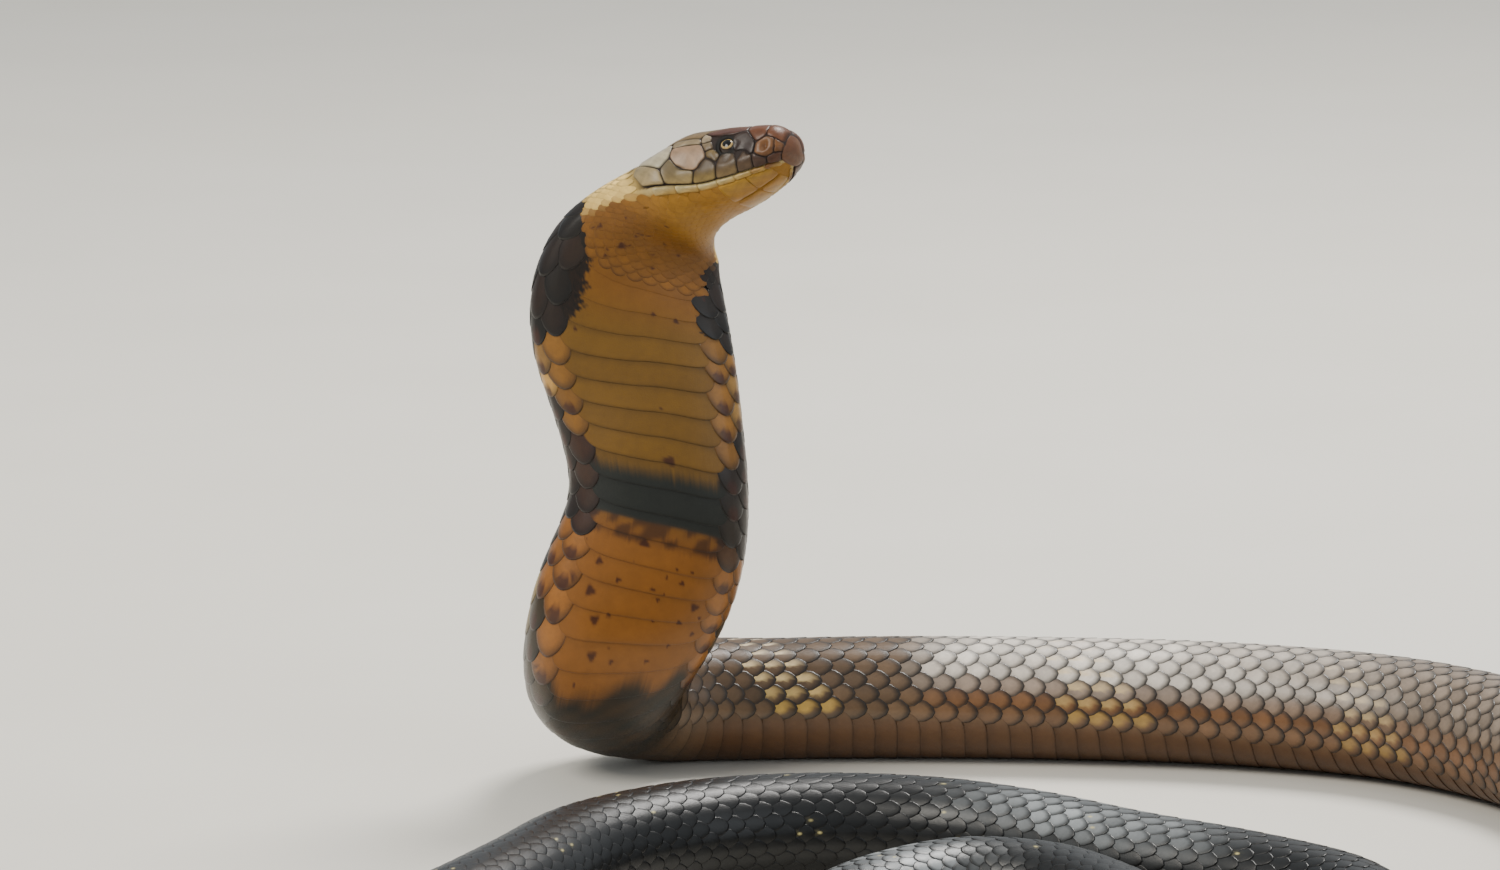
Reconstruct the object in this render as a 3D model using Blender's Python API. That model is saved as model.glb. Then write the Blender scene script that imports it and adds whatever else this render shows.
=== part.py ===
"""A king cobra reared with its hood spread, life size, parted into lengths by thin cuts."""
import math

import bmesh
import bpy
import numpy as np
from mathutils import Matrix, Vector

# Every size is in millimetres until the meshes are made.
MM = 0.001
GAP = 0.3
FLOOR_SINK = 1.0

# The head: where the snout is, and how it is turned. Angles are in degrees.
SNOUT_TIP = (19.8, -62.0, 288.0)
HEAD_YAW = 33
HEAD_PITCH = 19
HEAD_ROLL = 26

# Head stations: back from the snout, drop of the centre, half width, height above it, depth below it.
HEAD = (
    (0.0, -3.5, 2.5, 3.0, 1.5),
    (0.5, -3.5, 5.5, 5.5, 2.8),
    (1.5, -3.5, 8.3, 7.8, 4.2),
    (3.0, -3.4, 10.2, 9.6, 5.2),
    (5.0, -3.0, 11.6, 11.2, 6.2),
    (10.0, -1.5, 13.5, 14.0, 8.0),
    (18.0, 0.0, 15.5, 16.8, 9.5),
    (26.0, 1.0, 17.2, 19.2, 11.0),
    (36.0, 1.5, 19.2, 20.6, 12.5),
    (48.0, 1.0, 21.8, 20.4, 15.0),
)

# Hood stations: centre x, y, z, then the way to the head as its tilt from level and its lean to the front,
# then the way of the belly as its bearing from the front and its fall, then half width, back and belly depth.
HOOD = (
    (-27, -36, 268, 26, 24, 10, 52, 24.5, 19.0, 18.0),
    (-37, -28, 258, 47, 13, 12, 38, 29.0, 16.5, 18.5),
    (-45.5, -24, 249.5, 66, 4, 14, 20, 35.0, 15.0, 17.0),
    (-52, -23, 239, 82, -4, 14, 8, 39.5, 15.0, 16.0),
    (-55, -25, 226, 93, -6, 13, 4, 42.2, 15.0, 15.5),
    (-53, -30, 205, 100, -6, 9, 0, 43.5, 15.5, 16.0),
    (-47, -36, 181, 100, -6, 4, 0, 41.5, 17.0, 17.0),
    (-42.5, -41, 159, 96, -5, 2, 0, 39.5, 18.0, 18.0),
    (-40, -44, 139, 91, -2, 2, 0, 39.0, 19.0, 19.0),
    (-42, -45, 118.5, 82, 2, 4, 0, 41.0, 20.0, 20.5),
    (-48, -44, 98, 76, 6, 7, 0, 43.0, 21.0, 22.0),
    (-55.5, -43, 78.5, 75, 10, 10, 6, 42.5, 22.0, 23.5),
)

# Bend stations, where the body comes down to the floor: centre, way to the head, way of the belly,
# half width, back and belly depth.
BEND = (
    ((-62, -33, 55), (0.04, -0.52, 0.86), (0.1, -0.85, -0.5), 38.5, 24.5, 26.0),
    ((-63, -14, 39), (-0.30, -0.74, 0.60), (-0.1, -0.66, -0.74), 33.5, 26.5, 28.0),
    ((-50, 4, 31.5), (-0.74, -0.62, 0.26), (-0.1, -0.58, -0.82), 30.0, 27.5, 27.5),
    ((-28, 14, 28), (-0.95, -0.30, 0.06), (0.0, -0.60, -0.80), 28.0, 27.5, 27.0),
)

# Floor route: x and y of the body's middle from the bend round the outer loop, back under the front
# and into the inner loop where the tail ends.
FLOOR_ROUTE = (
    (5, 18), (40, 20), (90, 20), (150, 16), (225, 4), (290, -22), (340, -70), (368, -135), (375, -210),
    (368, -290), (350, -370), (318, -450), (268, -520), (198, -570), (110, -592), (20, -594), (-66, -578),
    (-136, -534), (-168, -472), (-158, -424), (-126, -376), (-95, -310), (-67, -247), (-20, -205), (34, -190),
    (85, -197), (122, -218), (160, -250), (205, -282), (246, -325), (252, -376), (216, -404), (174, -386),
    (148, -330), (120, -292), (90, -283), (58, -302), (24, -352), (0, -402), (-6, -455), (22, -500),
    (80, -520), (142, -508), (192, -478), (236, -458), (272, -436),
)

# Girth along the floor: distance from the snout, half width, back and belly depth.
GIRTH = (
    (420, 27.0, 27.0, 26.5), (620, 28.0, 28.0, 26.5), (1000, 28.5, 28.5, 26.5), (1500, 28.0, 28.0, 26.0),
    (1900, 25.0, 25.0, 23.5), (2150, 22.5, 22.5, 21.5), (2400, 22.0, 21.5, 21.0), (2700, 20.5, 20.0, 19.5),
    (2850, 17.0, 17.0, 16.0), (3000, 12.0, 12.0, 11.0), (3100, 8.0, 8.0, 7.5), (3180, 4.6, 4.6, 4.2),
    (3230, 2.6, 2.6, 2.4), (3300, 1.6, 1.6, 1.5),
)

# The belly of the first floor stretch is rolled to the front, and is level from here on.
ROLL_AT_BEND = 37
ROLL_FROM = 430
ROLL_TO = 900

# Squareness of the cross-section, back and belly: 2 is an ellipse.
SQUARE_HEAD = (2.9, 2.3)
SQUARE_HOOD = (2.1, 2.3)
SQUARE_BODY = (2.05, 2.3)

# Where the body is parted, by distance from the snout.
HEAD_END = 71
HOOD_CUTS = (71, 116, 160, 203, 252, 300)
FLOOR_FROM = 372
LENGTH_OF_A_PIECE = 240
TURN_OF_A_PIECE = 88

# The line of the mouth, by distance from the snout: its angle round the section from the top.
MOUTH_LINE = ((0, 166), (4.5, 158), (9, 139), (14.5, 131), (21, 126), (26, 123.5), (31.5, 121), (36, 120.5),
              (42.5, 118), (48.5, 113), (54, 108), (60.5, 104.5), (68, 103))
MOUTH_FROM = 4
MOUTH_END = 66
MOUTH_LIP = 2.6
MOUTH_DEPTH = 0.9

# Eyes and nostrils: distance from the snout, angle from the top, and half sizes.
EYE_AT = (26.2, 74)
EYE_RADIUS = 4.4
EYE_RISE = 1.15
NOSTRIL_AT = (7.6, 89)
NOSTRIL_RADIUS = 2.1

# Corners of the head's shields on its right side: distance from the snout and angle from the top. A corner
# on the lip has the line of the mouth as its angle.
LIP = None
CORNERS = {
    "tip_top": (1.1, 0), "tip_brow": (1.0, 52), "tip_side": (1.2, 92), "tip_low": (1.9, 132), "tip_lip": (4.3, LIP),
    "nose_top": (3.4, 80), "nose_mid": (3.6, 99), "nose_low": (4.3, 121), "nose_back": (7.6, 121),
    "pit_back": (9.8, 108), "pit_rear": (12.6, 91), "pit_high": (11.6, 81), "pit_top": (6.8, 74),
    "snout_mid": (8.0, 0), "snout_side": (6.6, 52), "brow_mid": (17.0, 0), "brow_inner": (17.6, 24),
    "brow_front": (16.4, 51), "brow_low": (22.6, 61), "brow_eye": (29.6, 59), "brow_back": (33.6, 55),
    "brow_rear": (37.6, 45), "crown_side": (30.0, 21), "crown_mid": (34.5, 0), "orbit_top": (33.0, 65),
    "orbit_rear": (31.8, 76), "orbit_low": (28.6, 85), "orbit_front": (22.4, 85), "cheek_a": (38.6, 57),
    "cheek_b": (38.0, 67), "cheek_c": (35.8, 79), "cheek_d": (35.2, 85), "cheek_e": (38.6, 89.5),
    "lore": (17.6, 86), "lip_a": (13.4, 93), "lip_b": (20.6, 92), "lip_c": (30.4, 90), "lip_d": (40.8, 94),
    "lip_e": (49.6, 88), "lip_f": (56.4, 87), "lip_g": (55.6, 96), "one": (8.6, LIP), "two": (14.2, LIP),
    "three": (21.2, LIP), "four": (31.4, LIP), "five": (42.4, LIP), "six": (54.8, LIP), "seven": (65.6, LIP),
    "temple_a": (48.2, 67), "temple_b": (51.8, 64), "temple_c": (52.0, 78), "temple_d": (52.4, 51),
    "temple_e": (57.2, 44), "temple_f": (66.2, 50), "temple_g": (66.6, 66), "temple_h": (59.6, 81),
    "jaw_back": (68.4, 84), "nape_mid": (55.0, 0), "nape_rear": (68.4, 0), "nape_side": (67.6, 44),
}

# Each shield's corners in turn, and how far its middle stands over the skin.
SHIELDS = {
    "internasal": ("tip_top tip_brow tip_side nose_top pit_top snout_side snout_mid", 0.6),
    "prefrontal": ("snout_mid snout_side pit_top pit_high brow_front brow_inner brow_mid", 0.6),
    "supraocular": ("brow_front brow_low brow_eye brow_back brow_rear crown_side brow_inner", 0.9),
    "parietal": ("crown_mid crown_side brow_rear cheek_a temple_d temple_e nape_mid", 0.7),
    "occipital": ("nape_mid temple_e temple_f nape_side nape_rear", 0.7),
    "nasal_front": ("tip_side tip_low nose_low nose_mid nose_top", 0.6),
    "nasal_rear": ("nose_top nose_mid nose_low nose_back pit_back pit_rear pit_high pit_top", 0.7),
    "preocular": ("pit_high pit_rear lip_a lore orbit_front brow_low brow_front", 0.5),
    "postocular_top": ("brow_back orbit_top cheek_b cheek_a brow_rear", 0.5),
    "postocular": ("orbit_top orbit_rear cheek_c cheek_b", 0.5),
    "postocular_low": ("orbit_rear orbit_low lip_c cheek_d cheek_c", 0.5),
    "temporal_top": ("cheek_a cheek_b temple_a temple_b temple_d", 0.6),
    "temporal": ("cheek_b cheek_c cheek_d cheek_e lip_d lip_e temple_c temple_b temple_a", 0.7),
    "temporal_rear": ("temple_d temple_b temple_c lip_f temple_h temple_g temple_f temple_e", 0.7),
    "lip_1": ("tip_low tip_lip one nose_back nose_low", 0.5),
    "lip_2": ("nose_back one two lip_a pit_rear pit_back", 0.5),
    "lip_3": ("lip_a two three lip_b lore", 0.5),
    "lip_4": ("lip_b three four lip_c orbit_low orbit_front", 0.5),
    "lip_5": ("lip_c four five lip_d cheek_e cheek_d", 0.5),
    "lip_6": ("lip_d five six lip_g lip_f temple_c lip_e", 0.6),
    "lip_7": ("lip_g six seven jaw_back temple_g temple_h lip_f", 0.6),
}
SHIELD_SINK = 0.9
SHIELD_EDGE = 0.42
SHIELD_SEAM = 0.38
SHIELD_SPACING = 5.5

# Shields under the mouth: where those of the lower lip end, how far down they reach, and the chin's pairs.
LOWER_LIP = (6.0, 10.5, 16.5, 24.0, 32.0, 41.0, 51.0, 62.0)
LOWER_LIP_REACH = 19
CHIN = ((9.0, 20.0), (20.0, 33.0))

# Ventral plates: spacing where they show and where they lie on the floor, how far each one's rear edge
# stands over the next, half their arc, and how steeply they slant across the reared part.
SCUTE_PITCH = 11
SCUTE_PITCH_BELOW = 22
SCUTES_SHOW_TO = 640
SCUTE_STEP = 0.8
SCUTE_HALF_ARC = 55
SCUTE_TAPER = 12
SCUTE_VARY = 0.06
SCUTE_SKEW = ((71, 0.0), (100, 0.36), (113, 0.46), (130, 0.4), (150, 0.34), (185, 0.34), (208, 0.21), (240, 0.05),
              (265, -0.12), (300, -0.1), (335, 0.0))
SEED = 7

SMOOTH_REACH = 7
HEAD_RIGID_TO = 45

COLOURS = {
    "head": ((0.30, 0.24, 0.19), 0.45),
    "throat": ((0.62, 0.36, 0.13), 0.5),
    "band": ((0.05, 0.05, 0.06), 0.5),
    "body": ((0.14, 0.11, 0.10), 0.45),
    "rear": ((0.04, 0.04, 0.045), 0.4),
    "eye": ((0.02, 0.015, 0.01), 0.08),
}


def unit(v):
    return v / np.linalg.norm(v, axis=-1, keepdims=True)


def head_axes():
    """The way the head points, and the way its belly side faces."""
    yaw, pitch, roll = (math.radians(a) for a in (HEAD_YAW, HEAD_PITCH, HEAD_ROLL))
    forward = np.array([math.cos(yaw) * math.cos(pitch), -math.sin(yaw) * math.cos(pitch), math.sin(pitch)])
    level = np.array([-math.sin(yaw), -math.cos(yaw), 0.0])
    up = np.cross(level, forward)
    belly = math.sin(roll) * level - math.cos(roll) * up
    return forward, belly


def way(tilt, lean):
    t, l = math.radians(tilt), math.radians(lean)
    return np.array([math.cos(t) * math.cos(l), -math.sin(l), math.sin(t) * math.cos(l)])


def facing(bearing, fall):
    a, d = math.radians(bearing), math.radians(fall)
    return np.array([math.sin(a) * math.cos(d), -math.cos(a) * math.cos(d), -math.sin(d)])


def along(knots, values, at):
    """Smooth interpolation whose slope at each knot is the mean of its neighbours'."""
    knots, values, at = (np.asarray(a, float) for a in (knots, values, at))
    slopes = np.gradient(values, knots, axis=0)
    i = np.clip(np.searchsorted(knots, at, side="right") - 1, 0, len(knots) - 2)
    h = knots[i + 1] - knots[i]
    t = (at - knots[i]) / h
    if values.ndim == 2:
        t, h = t[:, None], h[:, None]
    a, b, slope_a, slope_b = values[i], values[i + 1], slopes[i] * h, slopes[i + 1] * h
    return ((2 * t**3 - 3 * t**2 + 1) * a + (t**3 - 2 * t**2 + t) * slope_a
            + (-2 * t**3 + 3 * t**2) * b + (t**3 - t**2) * slope_b)


def distances(points):
    return np.concatenate([[0], np.cumsum(np.linalg.norm(np.diff(points, axis=0), axis=1))])


def stations():
    """One row for each station: centre, way to the head, way of the belly, three sizes, two squarenesses."""
    forward, belly = head_axes()
    rows = []
    for back, drop, half, above, below in HEAD:
        centre = np.array(SNOUT_TIP) - forward * back + belly * drop
        rows.append([*centre, *forward, *belly, half, above, below, *SQUARE_HEAD])
    for x, y, z, tilt, lean, bearing, fall, half, back, below in HOOD:
        rows.append([x, y, z, *way(tilt, lean), *facing(bearing, fall), half, back, below, *SQUARE_HOOD])
    for centre, ahead, under, half, back, below in BEND:
        rows.append([*centre, *ahead, *under, half, back, below, *SQUARE_BODY])
    reached = distances(np.array([row[:3] for row in rows]))[-1]
    route = np.array(FLOOR_ROUTE, float)
    ahead = -unit(np.gradient(route, axis=0))
    reached += distances(np.vstack([rows[-1][:2], route]))[1:]
    girth = np.array(GIRTH)
    sizes = along(girth[:, 0], girth[:, 1:], reached)
    roll = np.radians(ROLL_AT_BEND * np.clip((ROLL_TO - reached) / (ROLL_TO - ROLL_FROM), 0, 1))
    for (x, y), (ax, ay), (half, back, below), turn in zip(route, ahead, sizes, roll):
        under = (-ay * math.sin(turn) * np.sign(ax), ax * math.sin(turn) * np.sign(ax), -math.cos(turn))
        under = (under[0] * -1, under[1] * -1, under[2]) if under[1] > 0 else under
        rows.append([x, y, below, ax, ay, 0, *under, half, back, below, *SQUARE_BODY])
    return np.array(rows, float)


class Spine:
    """The body's middle line every millimetre, with the section that it carries there."""

    def __init__(self):
        rows = stations()
        knots = distances(rows[:, :3])
        at = np.arange(0, knots[-1])
        values = self.smoothed(at, along(knots, rows, at))
        self.at = at
        self.length = at[-1]
        self.ahead = unit(values[:, 3:6])
        under = values[:, 6:9]
        self.belly = unit(under - self.ahead * np.sum(under * self.ahead, 1, keepdims=True))
        self.right = np.cross(self.ahead, -self.belly)
        self.sizes = values[:, 9:12]
        self.square = values[:, 12:14]
        self.centre = values[:, :3]
        self.set_down()

    @staticmethod
    def smoothed(at, values):
        """The route blurred over a few millimetres, apart from the head, which is stiff."""
        n = 3 * SMOOTH_REACH
        weights = np.exp(-0.5 * (np.arange(-n, n + 1) / SMOOTH_REACH) ** 2)
        weights /= weights.sum()
        before = np.repeat(values[:1], n, 0)
        after = 2 * values[-1:] - values[-2:-n - 2:-1]
        padded = np.concatenate([before, values, after])
        soft = np.stack([np.convolve(padded[:, k], weights, "valid") for k in range(values.shape[1])], 1)
        share = np.clip((at - HEAD_RIGID_TO) / 30, 0, 1)[:, None]
        return values * (1 - share) + soft * share

    def set_down(self):
        """Lowers the part that lies, so that each section just sinks into the floor."""
        angles = np.radians(np.arange(0, 360, 5))
        lat, ver = self.outline(np.arange(len(self.at)), angles)
        fall = (self.right[:, None, 2] * lat - self.belly[:, None, 2] * ver).min(1)
        rest = -fall - FLOOR_SINK
        share = np.clip((self.at - 335) / 60, 0, 1)
        share = share * share * (3 - 2 * share)
        self.centre[:, 2] = self.centre[:, 2] * (1 - share) + rest * share

    def outline(self, rows, angles):
        """The section's sideways and upward sizes at the given rows, for angles from the back."""
        sine, cosine = np.sin(angles), np.cos(angles)
        upper = cosine >= 0
        square = np.where(upper, self.square[rows, 0:1], self.square[rows, 1:2])
        height = np.where(upper, self.sizes[rows, 1:2], self.sizes[rows, 2:3])
        lat = self.sizes[rows, 0:1] * np.sign(sine) * np.abs(sine) ** (2 / square)
        ver = height * np.sign(cosine) * np.abs(cosine) ** (2 / square)
        return lat, ver

    def point(self, distance, angles, lift=0.0):
        """Points on the skin at one distance each and an angle each, lifted off it by some millimetres."""
        distance, angles = np.broadcast_arrays(np.asarray(distance, float), np.asarray(angles, float))
        low = np.clip(np.floor(distance).astype(int), 0, len(self.at) - 2)
        part = (distance - low)[..., None]

        def between(field):
            return field[low] * (1 - part) + field[low + 1] * part

        half, back, below = np.moveaxis(between(self.sizes), -1, 0)
        sine, cosine = np.sin(np.radians(angles)), np.cos(np.radians(angles))
        upper = cosine >= 0
        square = between(self.square)
        power = 2 / np.where(upper, square[..., 0], square[..., 1])
        height = np.where(upper, back, below)
        lat = half * np.sign(sine) * np.abs(sine) ** power
        ver = height * np.sign(cosine) * np.abs(cosine) ** power
        out = unit(np.stack([lat / half**2, ver / height**2], -1))
        lat, ver = lat + out[..., 0] * lift, ver + out[..., 1] * lift
        spot = between(self.centre) + between(self.right) * lat[..., None] - between(self.belly) * ver[..., None]
        spot[..., 2] = np.maximum(spot[..., 2], 0.0)
        return spot


def skewed(spine, distance, angles):
    """The distance of each point of a ring that runs along the slanted edge of a ventral plate."""
    table = np.array(SCUTE_SKEW)
    skew = np.interp(distance, table[:, 0], table[:, 1], left=0.0, right=0.0)
    row = int(np.clip(distance, 0, spine.length))
    return distance + skew * spine.sizes[row, 0] * -np.sin(np.radians(angles))


def scuted(spine, start, stop, angles, draw):
    """Rings of a length whose belly is stepped, each ventral plate's rear edge standing over the next."""
    pitch = SCUTE_PITCH if start < SCUTES_SHOW_TO else SCUTE_PITCH_BELOW
    count = max(1, round((stop - start) / pitch))
    edges = np.linspace(start, stop, count + 1)
    off_middle = np.abs(angles % 360 - 180)
    raised = SCUTE_STEP * np.clip((SCUTE_HALF_ARC - off_middle) / SCUTE_TAPER, 0, 1)
    rings = []
    for k, edge in enumerate(edges):
        if 0 < k < count:
            edge += draw.uniform(-SCUTE_VARY, SCUTE_VARY) * pitch
        reach = skewed(spine, edge, angles)
        over = spine.point(reach, angles, raised)
        under = spine.point(reach, angles)
        under[over[:, 2] <= 0] = over[over[:, 2] <= 0]
        if k > 0:
            rings.append(over)
        if k < count:
            rings.append(under)
    return rings


def solid(name, rings, colour, materials):
    """One closed body from rings of as many points each, its ends closed round their middles."""
    mesh = bpy.data.meshes.new(name)
    bm = bmesh.new()
    rows = [[bm.verts.new(p * MM) for p in ring] for ring in rings]
    count = len(rows[0])
    for one, two in zip(rows, rows[1:]):
        for k in range(count):
            a, b, c, d = one[k], one[(k + 1) % count], two[(k + 1) % count], two[k]
            if (a.co - c.co).length <= (b.co - d.co).length:
                bm.faces.new((a, b, c))
                bm.faces.new((a, c, d))
            else:
                bm.faces.new((a, b, d))
                bm.faces.new((b, c, d))
    for row, ring in ((rows[0], rings[0]), (rows[-1], rings[-1])):
        middle = bm.verts.new(np.mean(ring, axis=0) * MM)
        for k in range(count):
            bm.faces.new((row[k], row[(k + 1) % count], middle))
    bmesh.ops.remove_doubles(bm, verts=bm.verts, dist=1e-6)
    bmesh.ops.dissolve_degenerate(bm, dist=1e-6, edges=bm.edges)
    bmesh.ops.recalc_face_normals(bm, faces=bm.faces)
    bmesh.ops.triangulate(bm, faces=bm.faces)
    if bm.calc_volume(signed=True) < 0:
        bmesh.ops.reverse_faces(bm, faces=bm.faces)
    bm.to_mesh(mesh)
    bm.free()
    mesh.shade_smooth()
    mesh.materials.append(materials[colour])
    piece = bpy.data.objects.new(name, mesh)
    bpy.context.collection.objects.link(piece)
    return piece


def make_materials():
    made = {}
    for name, (colour, rough) in COLOURS.items():
        material = bpy.data.materials.new(name)
        material.use_nodes = True
        shader = material.node_tree.nodes["Principled BSDF"]
        shader.inputs["Base Color"].default_value = (*colour, 1)
        shader.inputs["Roughness"].default_value = rough
        shader.inputs["Metallic"].default_value = 0.0
        made[name] = material
    return made


def clear_scene():
    for piece in list(bpy.data.objects):
        bpy.data.objects.remove(piece, do_unlink=True)


def floor_cuts(spine):
    """Distances that part the lying body, so that no piece is long or turns far."""
    cuts = [FLOOR_FROM]
    spent = 0.0
    for k in range(FLOOR_FROM, int(spine.length) - 60):
        cosine = float(np.clip(np.dot(spine.ahead[k], spine.ahead[k + 1]), -1, 1))
        spent += 1 / LENGTH_OF_A_PIECE + math.degrees(math.acos(cosine)) / TURN_OF_A_PIECE
        if spent >= 1:
            cuts.append(k)
            spent = 0.0
    return cuts


def mouth_angle(distance):
    table = np.array(MOUTH_LINE)
    return float(np.interp(distance, table[:, 0], table[:, 1]))


def head_ring(spine, distance):
    """A ring of the head with a narrow groove along the line of the mouth on both sides."""
    mouth = mouth_angle(min(distance, MOUTH_END))
    side = [*np.linspace(0, mouth - MOUTH_LIP, 9), mouth, *np.linspace(mouth + MOUTH_LIP, 180, 6)]
    depth = [0.0] * 9 + [-MOUTH_DEPTH if MOUTH_FROM < distance < MOUTH_END else 0.0] + [0.0] * 6
    angles = side + [360 - a for a in side[-2:0:-1]]
    return spine.point(distance, angles, np.array(depth + depth[-2:0:-1]))


def ball(name, centre, sizes, axes, segments, rings):
    """A closed ellipsoid round a point, with its three half sizes along three axes."""
    mesh = bpy.data.meshes.new(name)
    bm = bmesh.new()
    bmesh.ops.create_uvsphere(bm, u_segments=segments, v_segments=rings, radius=1.0)
    for vert in bm.verts:
        spot = np.array(centre) + sum(axis * size * c for axis, size, c in zip(axes, sizes, vert.co))
        vert.co = spot * MM
    bmesh.ops.triangulate(bm, faces=bm.faces)
    bmesh.ops.recalc_face_normals(bm, faces=bm.faces)
    bm.to_mesh(mesh)
    bm.free()
    mesh.shade_smooth()
    piece = bpy.data.objects.new(name, mesh)
    bpy.context.collection.objects.link(piece)
    return piece


def local_axes(spine, distance, angle):
    """A spot on the skin, the way out of it, the way to the snout, and the way up across it."""
    spot = spine.point(distance, angle)
    ahead = unit(spine.point(distance - 1, angle) - spine.point(distance + 1, angle))
    round_it = unit(spine.point(distance, angle - 1) - spine.point(distance, angle + 1))
    out = unit(np.cross(ahead, round_it))
    if np.dot(out, spine.point(distance, angle, 1.0) - spot) < 0:
        out = -out
    return spot, out, ahead, round_it


def joined(target, others, operation, solver="EXACT"):
    """The target after one Boolean with each of the others, which are then removed."""
    group = bpy.data.collections.new(target.name + "_tools")
    for other in others:
        group.objects.link(other)
    modifier = target.modifiers.new("join", "BOOLEAN")
    modifier.operand_type = "COLLECTION"
    modifier.collection = group
    modifier.operation = operation
    modifier.solver = solver
    shape = bpy.data.meshes.new_from_object(target.evaluated_get(bpy.context.evaluated_depsgraph_get()))
    target.modifiers.clear()
    old = target.data
    target.data = shape
    bpy.data.meshes.remove(old)
    for other in others:
        bpy.data.objects.remove(other, do_unlink=True)
    bpy.data.collections.remove(group)
    keep_largest(target)


def keep_largest(piece):
    """Drops every loose surface of a piece but its largest, and makes it triangles."""
    bm = bmesh.new()
    bm.from_mesh(piece.data)
    bmesh.ops.remove_doubles(bm, verts=bm.verts, dist=2e-6)
    bmesh.ops.dissolve_degenerate(bm, dist=2e-6, edges=bm.edges)
    bmesh.ops.triangulate(bm, faces=bm.faces)
    left = set(bm.verts)
    groups = []
    while left:
        todo = [left.pop()]
        group = set(todo)
        while todo:
            for edge in todo.pop().link_edges:
                for vert in edge.verts:
                    if vert not in group:
                        group.add(vert)
                        left.discard(vert)
                        todo.append(vert)
        groups.append(group)
    groups.sort(key=len)
    scraps = [vert for group in groups[:-1] for vert in group]
    bmesh.ops.delete(bm, geom=scraps, context="VERTS")
    bm.to_mesh(piece.data)
    bm.free()


def plate(spine, name, corners, rise, round_tip=False):
    """A shield as a closed pillow: its border from corner to corner, sunk below and raised above the skin."""
    border = []
    for here, there in zip(corners, corners[1:] + corners[:1]):
        span = float(np.linalg.norm(spine.point(*here) - spine.point(*there)))
        parts = max(1, round(span / SHIELD_SPACING))
        border += [[a + (b - a) * k / parts for a, b in zip(here, there)] for k in range(parts)]
    border = np.array(border)
    centre = border * (0, 1) if round_tip else np.tile(border.mean(0), (len(border), 1))
    reach = np.linalg.norm(spine.point(*border.T) - spine.point(*centre.T), axis=1)
    edge = border + (centre - border) * (SHIELD_SEAM / reach)[:, None]
    rings = [spine.point(*edge.T, -SHIELD_SINK), spine.point(*edge.T, SHIELD_EDGE)]
    if reach.max() > SHIELD_SPACING:
        middle = (edge + centre) / 2
        rings.append(spine.point(*middle.T, SHIELD_EDGE + (rise - SHIELD_EDGE) * 0.7))
    mesh = bpy.data.meshes.new(name)
    bm = bmesh.new()
    rows = [[bm.verts.new(p * MM) for p in ring] for ring in rings]
    count = len(border)
    for one, two in zip(rows, rows[1:]):
        for k in range(count):
            bm.faces.new((one[k], one[(k + 1) % count], two[(k + 1) % count], two[k]))
    for row, lift in ((rows[0], -SHIELD_SINK), (rows[-1], rise)):
        middle = bm.verts.new(spine.point(*centre[0], lift) * MM)
        for k in range(count):
            bm.faces.new((row[k], row[(k + 1) % count], middle))
    bmesh.ops.triangulate(bm, faces=bm.faces)
    bmesh.ops.recalc_face_normals(bm, faces=bm.faces)
    bm.to_mesh(mesh)
    bm.free()
    piece = bpy.data.objects.new(name, mesh)
    bpy.context.collection.objects.link(piece)
    return piece


def corner(name):
    distance, angle = CORNERS[name]
    return (distance, mouth_angle(distance) - MOUTH_LIP if angle is LIP else angle)


def shields(spine):
    """All the head's shields, those of one side and their mirror images, and the ones on the middle line."""
    made = []
    for name, (names, rise) in SHIELDS.items():
        right = [corner(n) for n in names.split()]
        made.append(plate(spine, name, right, rise))
        made.append(plate(spine, name, [(d, -a) for d, a in right[::-1]], rise))
    for k, (start, stop) in enumerate(zip(LOWER_LIP, LOWER_LIP[1:])):
        for side in (1, -1):
            top = [(d, side * (mouth_angle(d) + MOUTH_LIP)) for d in (start, stop)]
            low = [(d, side * min(mouth_angle(d) + LOWER_LIP_REACH, 172)) for d in (stop, start)]
            made.append(plate(spine, f"lower_lip_{k}", top + low, 0.5))
    for start, stop in CHIN:
        for side in (1, -1):
            low = [side * (mouth_angle(d) + LOWER_LIP_REACH) for d in (start, stop)]
            around = [(start, low[0]), (stop, low[1]), (stop, side * 180), (start, side * 180)]
            made.append(plate(spine, "chin", around, 0.5))
    half = [corner(n) for n in "brow_mid brow_inner crown_side crown_mid".split()]
    made.append(plate(spine, "frontal", half + [(d, -a) for d, a in half[-2:0:-1]], 0.7))
    half = [corner(n) for n in "tip_top tip_brow tip_side tip_low tip_lip".split()]
    made.append(plate(spine, "rostral", half + [(d, 360 - a) for d, a in half[:0:-1]], 0.7, round_tip=True))
    return made


def head(spine, materials):
    steps = [0, 0.5, 1.5, 3, 5, 8, 12, 17, 22, 27, 32, 38, 44, 50, 56, 62, MOUTH_END, HEAD_END - GAP / 2]
    piece = solid("head", [head_ring(spine, d) for d in steps], "head", materials)
    joined(piece, shields(spine), "UNION")
    cutters = []
    for side, name in ((1, "eye_right"), (-1, "eye_left")):
        spot, out, ahead, up = local_axes(spine, EYE_AT[0], side * EYE_AT[1])
        centre = spot - out * (EYE_RADIUS - EYE_RISE)
        eye = ball(name, centre, [EYE_RADIUS] * 3, (ahead, up, out), 16, 9)
        eye.data.materials.append(materials["eye"])
        cutters.append(ball("socket", centre, [EYE_RADIUS + GAP] * 3, (ahead, up, out), 16, 9))
        spot, out, ahead, up = local_axes(spine, NOSTRIL_AT[0], side * NOSTRIL_AT[1])
        sizes = (NOSTRIL_RADIUS, NOSTRIL_RADIUS * 1.3, NOSTRIL_RADIUS * 1.1)
        cutters.append(ball("nostril", spot, sizes, (ahead, up, out), 12, 8))
    joined(piece, cutters, "DIFFERENCE")


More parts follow.
